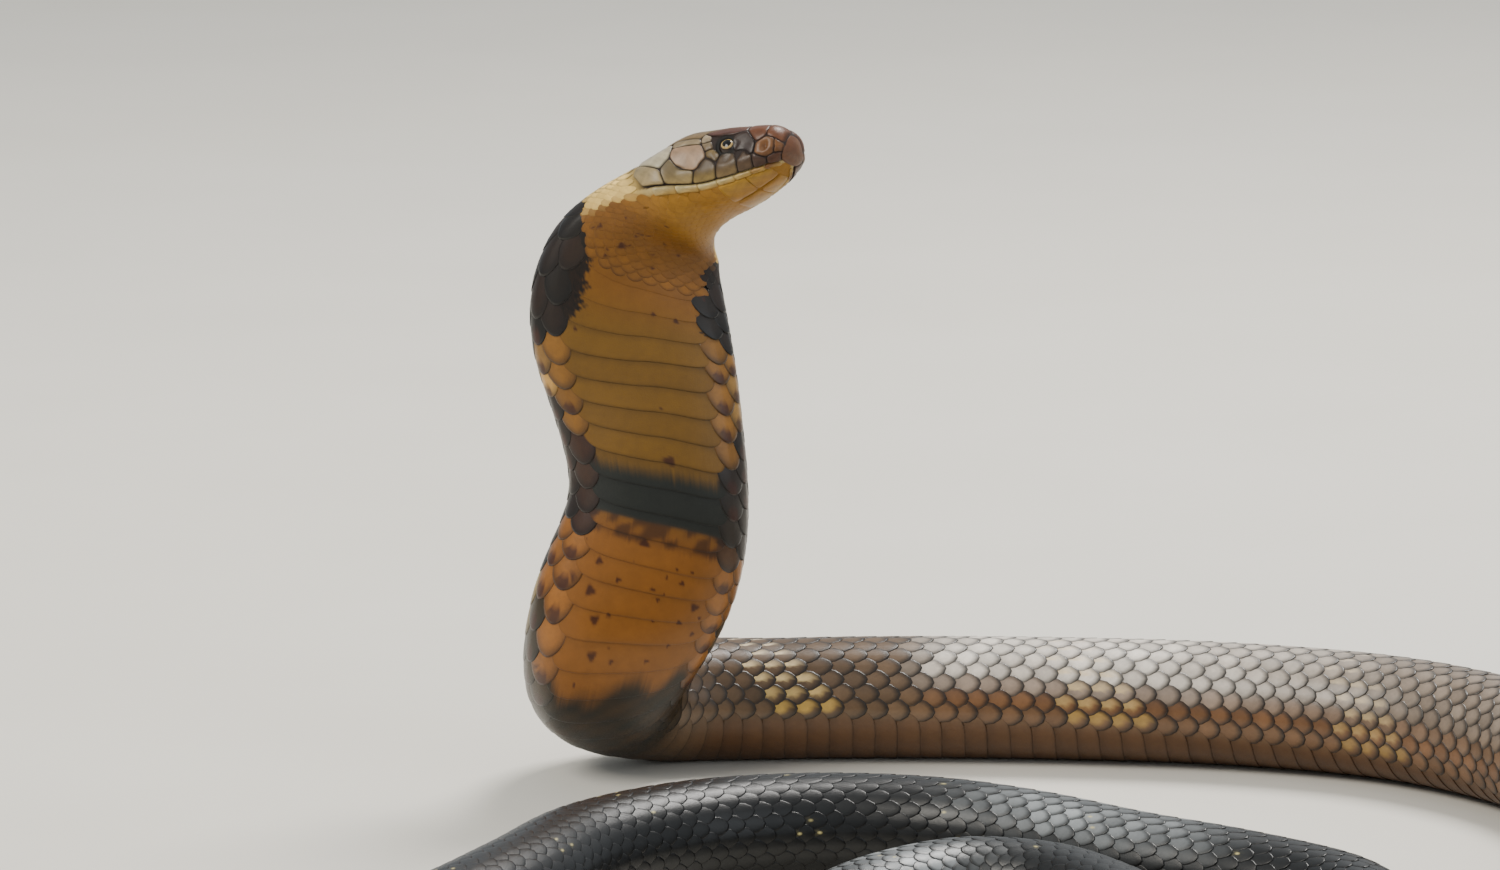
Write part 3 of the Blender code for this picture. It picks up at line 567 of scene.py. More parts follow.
class Body(Spine):
    """The snake's surface: places by distance and angle, or by column and turn, with the head's own relief."""

    def __init__(self):
        super().__init__()
        self.eye_centres = []
        for side in (1, -1):
            spot = self.point(EYE_AT[0], side * EYE_AT[1])
            out = unit(self.point(EYE_AT[0], side * EYE_AT[1], 1.0) - spot)
            look = unit(out + EYE_FORWARD * self.ahead[int(EYE_AT[0])])
            self.eye_centres.append((spot - out * (EYE_RADIUS - EYE_RISE), look))
        low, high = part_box("eye_right")
        self.shift = (np.array(low) + np.array(high)) / 2 / MM - self.eye_centres[0][0]
        self.turns = self.turn_table()

    def turn_table(self):
        """The angle at each quarter row from the mid back to the mid belly, for each millimetre of length."""
        angles = np.arange(0, 181, 3.0)
        lat, ver = self.outline(angles)
        steps = np.hypot(np.diff(lat), np.diff(ver))
        arc = np.concatenate([np.zeros((len(steps), 1)), np.cumsum(steps, 1)], 1)
        edge = 180 - table_at(BELLY_ARC, self.at)
        rows = np.arange(0, HALF_TURN + 0.1, 0.25)
        table = np.empty((len(self.at), len(rows)))
        for k, line in enumerate(arc):
            side = np.interp(edge[k], angles, line)
            under = side + (line[-1] - side) * (rows - SIDE_ROWS) / (HALF_TURN - SIDE_ROWS)
            table[k] = np.interp(np.where(rows < SIDE_ROWS, side * rows / SIDE_ROWS, under), line, angles)
        return table

    def angle(self, distance, turn):
        """Angles from the mid back at the given turns round the body."""
        turn = np.asarray(turn, float) % FULL_TURN
        other = turn > HALF_TURN
        where = np.where(other, FULL_TURN - turn, turn) * 4
        i = np.clip(np.floor(distance).astype(int), 0, len(self.at) - 2)
        j = np.clip(np.floor(where).astype(int), 0, self.turns.shape[1] - 2)
        a, b = np.clip(distance - i, 0, 1), where - j
        grid = self.turns
        found = ((grid[i, j] * (1 - b) + grid[i, j + 1] * b) * (1 - a)
                 + (grid[i + 1, j] * (1 - b) + grid[i + 1, j + 1] * b) * a)
        return np.where(other, 360 - found, found)

    def slant(self, distance, angles):
        """How far a slanted column has moved along the body at the given angles."""
        half = np.interp(distance, self.at, self.sizes[:, 0])
        return table_at(SLANT, distance) * half * np.sin(np.radians(angles))

    def slanted(self, distance, angles):
        """The distance along the body of points of a slanted column."""
        return distance - self.slant(distance, angles)

    def relief(self, distance, angles):
        """How far the living skin of the head stands over the plain loft."""
        s, a = np.asarray(distance, float), folded(angles)
        eye = eye_distance(s, a)
        lip = (a - mouth_at(s)) * HEAD_DEGREE
        inside = window(s, 3.2, 5.0, 63.5, 67.0)
        rise = 0.34 * bump(eye, 3.75, 0.55) - 0.5 * bump(eye, 5.3, 1.1) * step(a, 66, 74)
        rise += 0.85 * bump(a, 58, 7.5) * bump(s, 26.5, 8.5) * step(eye, 3.0, 4.2)
        rise -= 1.5 * (1 - step(eye, 2.6, 3.3))
        rise -= 0.55 * bump(s, 16.5, 4.5) * bump(a, 80, 11)
        rise += 0.3 * bump(a, 56, 6) * window(s, 6, 10, 18, 24)
        rise += 0.6 * bump(s, 56, 12) * bump(a, 82, 22)
        rise += 0.22 * inside * bump(lip, -1.7, 1.0) + 0.2 * inside * bump(lip, 1.9, 1.1)
        rise -= 1.15 * inside * bump(lip, 0, 0.55)
        rise -= 0.35 * bump((180 - a) * 0.3, 0, 0.5) * window(s, 8, 10, 31, 34)
        rise -= 1.9 * np.exp(-((s - NOSTRIL_AT[0]) / 1.25) ** 2 - ((a - NOSTRIL_AT[1]) * 0.24 / 1.7) ** 2)
        return rise * (1 - step(s, 66, 72))

    def world(self, distance, angles, lift=0.0):
        """Points of the finished model in metres, by distance and angle."""
        spot = self.point(distance, angles, np.asarray(lift, float) + self.relief(distance, angles))
        return (spot + self.shift) * MM

    def place(self, column, turn, lift=0.0):
        """Points of the finished model in metres, by slanted column and turn round the body."""
        angles = self.angle(column, turn)
        return self.world(self.slanted(column, angles), angles, lift)


# The markings of the reared part: the edge of each patch as distance and degrees off the mid belly. A spot has
# its distance, its angle and its radius, and the specks are smaller and fall by chance.
BLACK_RIGHT = ((97, 90), (100, 76), (104, 58), (107, 42), (112, 30), (120, 27), (128, 28), (134, 34), (138, 42),
               (141, 50), (146, 64), (150, 90))
BLACK_LEFT = ((82, 90), (85, 74), (89, 58), (98, 51), (107, 47), (122, 41), (130, 43), (134, 54), (137, 68),
              (141, 90))
BLACK_LOW = ((158, 90), (165, 76), (174, 64), (179, 52), (188, 44), (194, 38), (219, 38), (224, 60), (230, 90))
PALE_BACK = (152.0, 250.0, 322.0)
CHEVRONS = ((389, 1.0), (530, 0.6), (665, 0.45), (800, 0.4), (940, 0.35), (1080, 0.3))
SPOTS = (
    (98, 164, 1.9), (106, 159, 0.8), (89, 165, 0.9), (77, 165, 0.7), (103, 187, 0.8), (104, 157, 0.8),
    (98, 135, 1.6), (125, 190, 0.8), (126, 203, 1.1), (190, 186, 2.0), (168, 186, 0.6), (100, 223, 1.0),
    (138, 147, 0.9), (250, 151, 2.0), (249, 211, 1.9), (260, 158, 1.7), (273, 161, 1.7), (238, 151, 1.5),
    (226, 175, 1.6), (239, 198, 1.1), (257, 203, 1.1), (263, 215, 1.1), (275, 173, 0.8), (246, 133, 1.8),
)
SPECKS = 36

# The palest colour of a crossband, by the mid back.
PALE_TOP = (1.0, 0.85, 0.66)


def chevron_down(off):
    """How far down the side a place is, from 0 by the mid back to 1 low on the flank."""
    return (152 - off) / 92


def chevron_lag(off):
    """How far behind its point a crossband lies, by degrees off the mid belly."""
    return 27 * np.clip(chevron_down(off), 0, 1.15) ** 1.2


def chevron_at(column, off):
    """How much of a scale is marked by a crossband, and how far down the side it is."""
    down = np.clip(chevron_down(off), 0, 1.1)
    half = 7.5 + 11 * down
    found = np.zeros(np.shape(column))
    for at, strength in CHEVRONS:
        gap = np.abs(column - at - chevron_lag(off))
        found = np.maximum(found, strength * step(half - gap, -1, 1))
    return found, down


def ripple(a, b):
    """A smooth irregular field between about -1 and 1."""
    return (np.sin(a + 0.7 * b) + np.sin(1.9 * a - 1.3 * b + 1.7) + np.sin(3.1 * a + 2.3 * b + 4.1)) / 2.2


def patch(table, at, off, soft):
    """Inside a patch whose edge is given as distance and degrees off the mid belly."""
    return step(off - table_at(table, at), -soft, soft) * ((at > table[0][0]) & (at < table[-1][0]))


def markings(colours, column, angles, draw):
    """The colour of the skin at each place: pale throat, black patches, slate band, chevrons and dark rear, with
    painted sheen on the lying body and the coil and painted shade on the lying belly.

    Columns are in millimetres from the snout, and the places round the body in degrees off the mid belly.
    """
    column, angles = np.broadcast_arrays(np.asarray(column, float), np.asarray(angles, float))
    off = off_belly(angles)
    right = angles % 360 < 180
    n = column.shape
    pale = blend(colours.chin, colours.throat, step(column, 52, 84))
    pale = blend(pale, colours.hood, step(column, 112, 140))
    pale = blend(pale, colours.orange, step(column, 208, 226))
    pale = blend(pale, colours.orange, 0.55 * step(off, 36, 60) * step(column, 125, 140))
    nape = blend(colours.lip, colours.cream, step(off, 150, 60))
    nape = blend(nape, colours.brown, 0.55 * step(off, 118, 165))
    pale = blend(pale, nape, step(off, 62, 76) * (1 - step(column, 92, 104)))
    dark = blend(colours.olive, colours.black, 0.35 + 0.3 * np.sin(column * 0.13))
    rear = blend(dark, colours.brown, step(column, 322, 352))
    # Painted sheen: the upper side of the lying body is painted paler where light gleams on it, fading out further
    # along and on the left side.
    sheen = step(column, 456, 486) * (1 - 0.8 * step(column, 545, 720)) * step(off, 76, 98)
    sheen = sheen * (1 - 0.85 * step((angles + 180) % 360 - 180, -15, 45))
    rear = blend(rear, colours.painted_sheen, (0.85 + 0.15 * ripple(column * 0.05, off * 0.06)) * sheen)
    # The lowest rows turn orange-brown from where the painted sheen starts: partly their own colour, partly painted
    # light.
    flank = bump(off, 72, 18) * step(column, 458, 486)
    rear = blend(rear, colours.rust, 0.75 * flank * (1 - step(column, 760, 1000)))
    # The belly of the lying body is painted darker: partly its own dark brown, partly painted shade.
    rear = blend(rear, 0.62 * np.array(colours.rust), 0.75 * (1 - step(off, 42, 56)) * step(column, 350, 380))
    rear = blend(rear, colours.night, step(column, 900, 1250) * (0.8 + 0.2 * step(off, 20, 60)))
    # Painted sheen: stretches of the coil in front are painted pale grey on their upper side, where light gleams on
    # them.
    coil = window(column, 2148, 2222, 2240, 2330) + bump(column, 2695, 40)
    coil = coil * step(off, 104, 140) * (1 - 0.6 * step(off, 160, 176))
    rear = blend(rear, colours.painted_coil_sheen, coil * (0.75 + 0.25 * ripple(column * 0.08, off * 0.06)))
    back_edge = 84 + 8 * np.sin(column * 0.09)
    back = step(off, back_edge - 8, back_edge + 8) * step(column, 92, 102)
    skin = blend(pale, dark, back)
    mottle = window(off, 54, 60, 88, 100) * window(column, 138, 142, 172, 180)
    amber = blend(colours.orange, colours.cream, 0.3 * step(off, 56, 70))
    skin = blend(skin, blend(amber, colours.smudge, 0.05 + 0.75 * draw.random(n) ** 2), 0.9 * mottle)
    low = window(off, 50, 60, 84, 96) * window(column, 226, 232, 288, 300)
    shade = 94 - 32 * step(column, 240, 268)
    skin = blend(skin, blend(colours.orange, colours.olive, 0.12 + 0.83 * step(off, shade - 6, shade + 6)), low)
    for at in PALE_BACK:
        bar = bump(column - at - 16 * (off < 150) * (150 - off) / 90, 0, 5.0) * step(off, 82, 98)
        skin = blend(skin, colours.cream, 0.8 * bar)
    uneven = off + 3.5 * ripple(column * 0.9, angles * 0.4)
    black = np.where(right, patch(BLACK_RIGHT, column, uneven, 1.6), patch(BLACK_LEFT, column, uneven, 1.6))
    black = np.maximum(black, step(off, 84, 90) * step(column, 96, 104) * (1 - step(column, 140, 152)))
    skin = blend(skin, blend(colours.black, colours.smudge, 0.4 * draw.random(n)), black)
    ruddy = blend(colours.black, colours.smudge, 0.25 + 0.75 * right * (1 - step(off, 60, 72)))
    skin = blend(skin, ruddy, patch(BLACK_LOW, column, off, 3))
    streaks = ripple(angles * 0.9, column * 0.04) * (0.4 + 0.6 * ripple(angles * 0.13, column * 0.01))
    smear = step(column, 210, 214) * (1 - step(column + 1.5 * streaks, 224, 228)) * (1 - step(off, 48, 58))
    ragged = step(ripple(angles * 0.14, column * 0.3) + 0.35 * streaks, -0.6, 0.5)
    skin = blend(skin, colours.smudge, smear * (0.22 + 0.58 * ragged))
    slate = step(column + 1.6 * streaks, 191, 200) * (1 - step(column, 216, 218)) * (1 - step(off, 44, 56))
    skin = blend(skin, colours.slate, slate)
    base = step(column + 6 * ripple(angles * 0.07, column * 0.03) + 1.5 * streaks, 280, 292)
    mossy = 0.5 + 0.5 * ripple(column * 0.23, angles * 0.12)
    skin = blend(skin, blend(blend(colours.black, colours.olive, 0.5), colours.throat, 0.12 * mossy), base)
    skin = blend(skin, rear, step(column, 322, 348))
    return skin


def spotted(colours, skin, column, angles):
    """Small dark spots scattered over the throat and the belly of the reared part."""
    draw = np.random.default_rng(SPECK_SEED)
    at = np.where(draw.random(SPECKS) < 0.45, draw.uniform(68, 112, SPECKS), draw.uniform(230, 288, SPECKS))
    specks = np.stack([at, draw.normal(180, 34, SPECKS), draw.uniform(0.4, 1.0, SPECKS)], 1)
    for u, a, r in (*SPOTS, *specks):
        close = np.nonzero(np.abs(column - u) < 4)[0]
        back, across = column[close] - u, (angles[close] % 360 - a) * 0.6
        near = np.hypot(back, across) / r * (1 + 0.2 * np.cos(3 * np.arctan2(across, back) + u))
        skin[close] = blend(skin[close], colours.spot, 0.88 * (1 - step(near, 0.6, 1.25)))
    return skin


def fill(tree, node, given):
    """Sets a node's inputs, each to a value or to another node's output."""
    for key, value in given.items():
        if isinstance(value, bpy.types.NodeSocket):
            tree.links.new(value, node.inputs[key])
        else:
            node.inputs[key].default_value = value


def add_node(tree, kind, given, output=0, **settings):
    """The named output of a new node with its settings and inputs, or all its outputs."""
    node = tree.nodes.new(kind)
    for key, value in settings.items():
        setattr(node, key, value)
    fill(tree, node, given)
    return node.outputs if output is None else node.outputs[output]


def new_material(name):
    """A material, its node tree and its shader."""
    material = bpy.data.materials.new(name)
    material.use_nodes = True
    return material, material.node_tree, material.node_tree.nodes["Principled BSDF"]


def tint_of(tree):
    """The colour that the mesh carries."""
    return add_node(tree, "ShaderNodeAttribute", {}, "Color", attribute_name="tint")


def noise_of(tree, **given):
    """A noise over the object's own space."""
    place = add_node(tree, "ShaderNodeTexCoord", {}, "Object")
    return add_node(tree, "ShaderNodeTexNoise", {"Vector": place, **given}, "Fac")


def finish_material(name, rough, coat, grain, depth, scale, shine=0.3):
    """A skin material whose colour comes from the mesh, with fine mottling, uneven gloss and a slight grain."""
    material, tree, shader = new_material(name)
    broad = noise_of(tree, Scale=scale, Detail=6, Roughness=0.62)
    fine = noise_of(tree, Scale=scale * 9, Detail=3)

    def between(noise, low, high):
        given = {"Value": noise, "From Min": 0.3, "From Max": 0.7, "To Min": low, "To Max": high}
        return add_node(tree, "ShaderNodeMapRange", given, "Result")

    shade = between(broad, 1 - grain, 1 + grain)
    colour = add_node(tree, "ShaderNodeVectorMath", {0: tint_of(tree), "Scale": shade}, operation="SCALE")
    grained = {"Strength": depth, "Distance": 0.0002, "Height": fine}
    fill(tree, shader, {
        "Base Color": colour, "Roughness": between(fine, rough - 0.07, rough + 0.1),
        "Normal": add_node(tree, "ShaderNodeBump", grained, "Normal"),
        "Specular IOR Level": shine, "Coat Weight": coat, "Coat Roughness": 0.25})
    return material


def scale_material(name, rough, coat):
    """The finish of scales, which differ in their gloss."""
    return finish_material(name, rough, coat, 0.13, 0.3, 300, 0.35)


def eye_material():
    """Dark wet eye under its clear fixed scale."""
    material, tree, shader = new_material("eye")
    fill(tree, shader, {"Base Color": tint_of(tree), "Roughness": 0.18, "Coat Weight": 0.35,
                        "Coat Roughness": 0.03, "Specular IOR Level": 0.25})
    return material


def floor_material():
    """A pale, dull floor with a faint unevenness."""
    material, tree, shader = new_material("floor")
    ramp = tree.nodes.new("ShaderNodeValToRGB")
    for end, code in zip(ramp.color_ramp.elements, ("D0CCC2", "D8D4CB")):
        end.color = (*to_linear(code), 1)
    fill(tree, ramp, {"Fac": noise_of(tree, Scale=6, Detail=5)})
    fill(tree, shader, {"Base Color": ramp.outputs["Color"], "Roughness": 0.8})
    return material


# The body's length is cut into this many lanes of the baking map.
LANES = 12


def unwrap(column, turn, lane):
    """A place on the unwrap of the body: its length in lanes, one above another, with a margin round each."""
    return 0.01 + 0.97 * (column / LENGTH * LANES - lane), (lane + 0.03 + 0.94 * turn / FULL_TURN) / LANES


def lane_of(column):
    return np.clip(np.floor(column / LENGTH * LANES), 0, LANES - 1)


def corners_of(mesh):
    """The vertex of each corner of each face."""
    corners = np.empty(len(mesh.loops), int)
    mesh.loops.foreach_get("vertex_index", corners)
    return corners


def set_corner_uv(mesh, u, v):
    layer = mesh.uv_layers.new(name="OFBake")
    layer.uv.foreach_set("vector", np.stack([u, v], 1).astype(np.float32).ravel())


def set_uv(mesh, u, v):
    """The baking map from one place for each vertex."""
    corners = corners_of(mesh)
    set_corner_uv(mesh, u[corners], v[corners])


def set_skin_uv(mesh, distance, turn):
    """The skin's baking map, each face whole in the lane where it starts and on one side of the mid back."""
    corners = corners_of(mesh)
    starts, totals = np.empty(len(mesh.polygons), int), np.empty(len(mesh.polygons), int)
    mesh.polygons.foreach_get("loop_start", starts)
    mesh.polygons.foreach_get("loop_total", totals)
    lane = np.repeat(lane_of(distance[corners[starts]]), totals)
    first = np.repeat(turn[corners[starts + 1]], totals)
    near = first + (turn[corners] - first + HALF_TURN) % FULL_TURN - HALF_TURN
    set_corner_uv(mesh, *unwrap(distance[corners], near, lane))


FIELDS = {"FLOAT": "value", "FLOAT_VECTOR": "vector", "FLOAT_COLOR": "color"}


def set_values(mesh, name, values, kind="FLOAT"):
    """A number, vector or colour for each vertex."""
    layer = mesh.attributes.new(name, kind, "POINT")
    layer.data.foreach_set(FIELDS[kind], np.asarray(values, np.float32).ravel())


def set_tint(mesh, colours):
    full = np.concatenate([np.clip(colours, 0, 1), np.ones((len(colours), 1))], 1)
    set_values(mesh, "tint", full, "FLOAT_COLOR")


def placed(name, data):
    """A new object in the scene."""
    piece = bpy.data.objects.new(name, data)
    bpy.context.scene.collection.objects.link(piece)
    return piece


def new_piece(name, mesh, material, slot, *nodes):
    """A finished piece that rides on the model and stands for the given solids."""
    piece = placed(name, mesh)
    mesh.materials.clear()
    mesh.materials.append(material)
    mesh.shade_smooth()
    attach(piece, "root")
    if nodes:
        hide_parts(*nodes)


def plain_mesh(name, points, faces=()):
    mesh = bpy.data.meshes.new(name)
    mesh.from_pydata(points.tolist(), [], faces)
    return mesh


def mesh_from(name, points, faces):
    mesh = plain_mesh(name, points, faces)
    mesh.validate()
    mesh.update()
    return mesh


def tube_faces(rings, count, start=0):
    """Faces between successive rings of as many points, the first of which has the given number."""
    return [(first + m, first + count + m, first + count + (m + 1) % count, first + (m + 1) % count)
            for first in range(start, start + (rings - 1) * count, count) for m in range(count)]


def fan_faces(tip, first, count, way=1):
    """Faces between a tip and a ring of points, in order or the other way round."""
    return [(tip, *(first + m, first + (m + 1) % count)[::way]) for m in range(count)]


# The skin: distance of the snout's end, points round the head and round the body, how far back the finer head
# goes, the column that runs along the mouth, and how far the skin lies under the plain surface.
SNOUT_END = -0.4
HEAD_COLUMNS = 180
BODY_COLUMNS = 45
HEAD_SKIN_TO = 78.0
MOUTH_COLUMN = 118.0
SKIN_UNDER_HEAD = 0.22
SKIN_UNDER_BODY = 0.60


def mouth_columns(distance, angles):
    """Angles bent so that one pair of columns runs along the line of the mouth."""
    share = 1 - step(distance, 62, 76)
    line = MOUTH_COLUMN + (mouth_at(distance) - MOUTH_COLUMN) * share
    side = folded(angles)
    bent = np.where(side < MOUTH_COLUMN, side * line / MOUTH_COLUMN,
                    180 - (180 - side) * (180 - line) / (180 - MOUTH_COLUMN))
    return np.where(angles > 180, 360 - bent, bent)


def build_skin(body, colours):
    """One closed skin from the snout to the tip of the tail, finer on the head."""
    head_steps = [0.5, 0.7, 0.9, 1.1, 1.4, 2.0, *np.arange(2.6, HEAD_SKIN_TO, 0.6), HEAD_SKIN_TO]
    body_steps = [*np.arange(HEAD_SKIN_TO + 2, REAR_FROM, 2.0), *np.arange(REAR_FROM, LENGTH - 3, 4.0)]
    body_steps.append(LENGTH - 1.5)
    head_angles = np.linspace(0, 360, HEAD_COLUMNS, endpoint=False)
    body_angles = np.linspace(0, 360, BODY_COLUMNS, endpoint=False)
    at = np.concatenate([np.repeat(head_steps, HEAD_COLUMNS), np.repeat(body_steps, BODY_COLUMNS)])
    angles = np.concatenate([np.tile(head_angles, len(head_steps)), np.tile(body_angles, len(body_steps))])
    angles = mouth_columns(at, angles)
    lift = -SKIN_UNDER_HEAD - (SKIN_UNDER_BODY - SKIN_UNDER_HEAD) * step(at, 64, 82)
    points = body.world(at, angles, lift)
    ends = [points[:HEAD_COLUMNS].mean(0), points[-BODY_COLUMNS:].mean(0)]
    count = len(points)
    faces = tube_faces(len(head_steps), HEAD_COLUMNS)
    last = (len(head_steps) - 1) * HEAD_COLUMNS
    start = last + HEAD_COLUMNS
    share = HEAD_COLUMNS // BODY_COLUMNS
    for k in range(BODY_COLUMNS):
        here, there = start + k, start + (k + 1) % BODY_COLUMNS
        fine = [last + (share * k + m) % HEAD_COLUMNS for m in range(share + 1)]
        half = share // 2
        faces += [(fine[m], here, fine[m + 1]) for m in range(half)]
        faces.append((fine[half], here, there))
        faces += [(fine[m], there, fine[m + 1]) for m in range(half, share)]
    faces += tube_faces(len(body_steps), BODY_COLUMNS, start)
    faces += fan_faces(count, 0, HEAD_COLUMNS)
    faces += fan_faces(count + 1, count - BODY_COLUMNS, BODY_COLUMNS, -1)
    mesh = mesh_from("skin", np.vstack([points, ends]), faces)
    at, angles = np.append(at, (0.5, LENGTH - 1)), np.append(angles, (0, 0))
    draw = np.random.default_rng(SKIN_SEED)
    column = at + body.slant(at, angles)
    skin = markings(colours, column, angles, draw) * (0.85 - 0.3 * step(column, 104, 122))[:, None]
    under = folded(angles) - mouth_at(at)
    head = blend(colours.lip, colours.chin, step(under, 8, 16))
    head = blend(colours.seam, head * 0.85, step(under, 0.9, 2.0))
    near_eye = eye_distance(at, folded(angles))
    head = blend(head, np.array(colours.black) * 0.55, 1 - step(near_eye, 4.2, 6.0))
    skin = blend(head, skin, step(at, 64, 72))
    set_tint(mesh, skin)
    set_skin_uv(mesh, at, angles / 360 * FULL_TURN)
    flesh = [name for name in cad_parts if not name.startswith("eye")]
    new_piece("skin", mesh, finish_material("bare_skin", 0.62, 0.0, 0.16, 0.5, 420), "throat_scales", *flesh)


def cover_tree():
    """Copies of one scale set on flat points, then wrapped on the body's surface; and its named inputs."""
    tree = bpy.data.node_groups.new("Scales on a body", "GeometryNodeTree")
    asked = {"Geometry": "Geometry", "Scale": "Object", "Surface": "Object", "Length": "Float", "Around": "Float",
             "Rise": "Float", "Unevenness": "Float", "Seed": "Int", "Finish": "Material"}
    names = {key: tree.interface.new_socket(key, in_out="INPUT", socket_type="NodeSocket" + kind).identifier
             for key, kind in asked.items()}
    tree.interface.new_socket("Geometry", in_out="OUTPUT", socket_type="NodeSocketGeometry")
    asked = add_node(tree, "NodeGroupInput", {}, None)

    def node(kind, given, output=0, **settings):
        return add_node(tree, kind, given, output, **settings)

    def attribute(name, kind="FLOAT"):
        return node("GeometryNodeInputNamedAttribute", {"Name": name}, "Attribute", data_type=kind)

    def maths(operation, a, b):
        return node("ShaderNodeMath", {0: a, 1: b}, "Value", operation=operation)

    def vector(**given):
        return node("ShaderNodeCombineXYZ", given, "Vector")

    shape, surface = (node("GeometryNodeObjectInfo", {"Object": asked[key]}, "Geometry")
                      for key in ("Scale", "Surface"))
    size = vector(X=attribute("long"), Y=attribute("wide"), Z=attribute("thick"))
    least = maths("MULTIPLY", asked["Unevenness"], -1.0)
    turn = node("FunctionNodeRandomValue", {2: least, 3: asked["Unevenness"], 8: asked["Seed"]}, 1,
                data_type="FLOAT")
    copies = node("GeometryNodeInstanceOnPoints", {
        "Points": asked["Geometry"], "Instance": shape, "Scale": size, "Rotation": vector(Z=turn)}, "Instances")
    flat = node("GeometryNodeRealizeInstances", {"Geometry": copies}, "Geometry")
    here = node("GeometryNodeInputPosition", {})
    spot = node("ShaderNodeSeparateXYZ", {0: here}, None)
    sample = vector(X=maths("DIVIDE", spot["X"], asked["Length"]), Y=maths("DIVIDE", spot["Y"], asked["Around"]))
    base, out = (node("GeometryNodeSampleUVSurface", {
        "Mesh": surface, "UV Map": attribute("flat", "FLOAT_VECTOR"), "Sample UV": sample, "Value": value},
        data_type="FLOAT_VECTOR") for value in (here, attribute("out", "FLOAT_VECTOR")))
    lift = maths("MULTIPLY", spot["Z"], asked["Rise"])
    lifted = node("ShaderNodeVectorMath", {0: out, "Scale": lift}, operation="SCALE")
    wrapped = node("ShaderNodeVectorMath", {0: lifted, 1: base}, operation="ADD")
    place = node("ShaderNodeSeparateXYZ", {0: wrapped}, None)
    settled = vector(X=place["X"], Y=place["Y"], Z=maths("MAXIMUM", place["Z"], LEAST_HEIGHT))
    moved = node("GeometryNodeSetPosition", {"Geometry": flat, "Position": settled}, "Geometry")
    done = node("GeometryNodeSetMaterial", {"Geometry": moved, "Material": asked["Finish"]}, "Geometry")
    node("NodeGroupOutput", {"Geometry": done}, None)
    return tree, names


# The unrolled surface starts and stops at these turns round the body, so it overlaps itself by a few rows.
# No point of a scale lies lower over the floor than the least height, in metres.
LEAST_HEIGHT = 0.0002
SURFACE_FROM = -3.0
SURFACE_TO = 24.0


def unrolled_surface(body):
    """The body's surface as a grid that overlaps itself by a few rows, with its unrolled place as a map."""
    columns = np.concatenate([np.arange(24, 120, 1.0), np.arange(120, LENGTH - 1, 2.0)])
    turns = np.arange(SURFACE_FROM, SURFACE_TO + 0.01, 0.25)
    grid_c, grid_t = np.meshgrid(columns, turns, indexing="ij")
    here = body.place(grid_c, grid_t)
    along = np.gradient(here, axis=0)
    across = np.gradient(here, axis=1)
    out = np.cross(along, across)
    angles = body.angle(grid_c, grid_t)
    away = body.world(body.slanted(grid_c, angles), angles, 1.0) - here
    plain = np.linalg.norm(out, axis=-1, keepdims=True) < 1e-12
    out = np.where(plain, away, out)
    out = unit(out * np.sign(np.sum(out * away, -1, keepdims=True) + 1e-15))
    rows, width = grid_c.shape
    faces = [(i * width + j, i * width + j + 1, (i + 1) * width + j + 1, (i + 1) * width + j)
             for i in range(rows - 1) for j in range(width - 1)]
    mesh = plain_mesh("unrolled", here.reshape(-1, 3), faces)
    set_values(mesh, "out", out, "FLOAT_VECTOR")
    flat = np.stack([grid_c / LENGTH, (grid_t - SURFACE_FROM) / (SURFACE_TO - SURFACE_FROM)], -1).reshape(-1, 2)
    layer = mesh.uv_layers.new(name="flat")
    layer.uv.foreach_set("vector", flat[corners_of(mesh)].astype(np.float32).ravel())
    return placed("unrolled", mesh)


POINT_VALUES = ("column", "turn", "long", "wide", "thick")
SHAPE_VALUES = ("along", "across", "rim")


def spread(name, surface, points, shape, material, rise, turn, seed):
    """A mesh of copies of a shape at flat points of (column, turn, length, width, thickness)."""
    flat = np.stack([points[:, 0], (points[:, 1] - SURFACE_FROM) * ROW, np.zeros(len(points))], 1)
    mesh = plain_mesh(name + "_points", flat)
    for key, values in zip(POINT_VALUES, points.T):
        set_values(mesh, key, values)
    holder = placed(name + "_points", mesh)
    tree, names = cover_tree()
    modifier = holder.modifiers.new("scales", "NODES")
    modifier.node_group = tree
    values = {"Scale": shape, "Surface": surface, "Length": LENGTH, "Around": (SURFACE_TO - SURFACE_FROM) * ROW,
              "Rise": rise, "Unevenness": turn, "Seed": seed, "Finish": material}
    for key, value in values.items():
        modifier[names[key]] = value
    graph = bpy.context.evaluated_depsgraph_get()
    result = bpy.data.meshes.new_from_object(holder.evaluated_get(graph))
    bpy.data.objects.remove(holder, do_unlink=True)
    bpy.data.node_groups.remove(tree)
    result.name = name
    return result


def values_of(mesh, *names):
    """The named numbers of each vertex."""
    for name in names:
        found = np.empty(len(mesh.vertices), np.float32)
        mesh.attributes[name].data.foreach_get("value", found)
        yield found.astype(float)


def drop_working(mesh):
    """Leaves a finished mesh with only its colour and its baking map."""
    for name in (*POINT_VALUES, *SHAPE_VALUES, "flat", "id"):
        if name in mesh.attributes:
            mesh.attributes.remove(mesh.attributes[name])


def template(name, points, faces, *fields):
    """A shape to copy, with its places along and across and its nearness to the rim."""
    mesh = plain_mesh(name, points, faces)
    for key, values in zip(SHAPE_VALUES, fields):
        set_values(mesh, key, values)
    return placed(name, mesh)


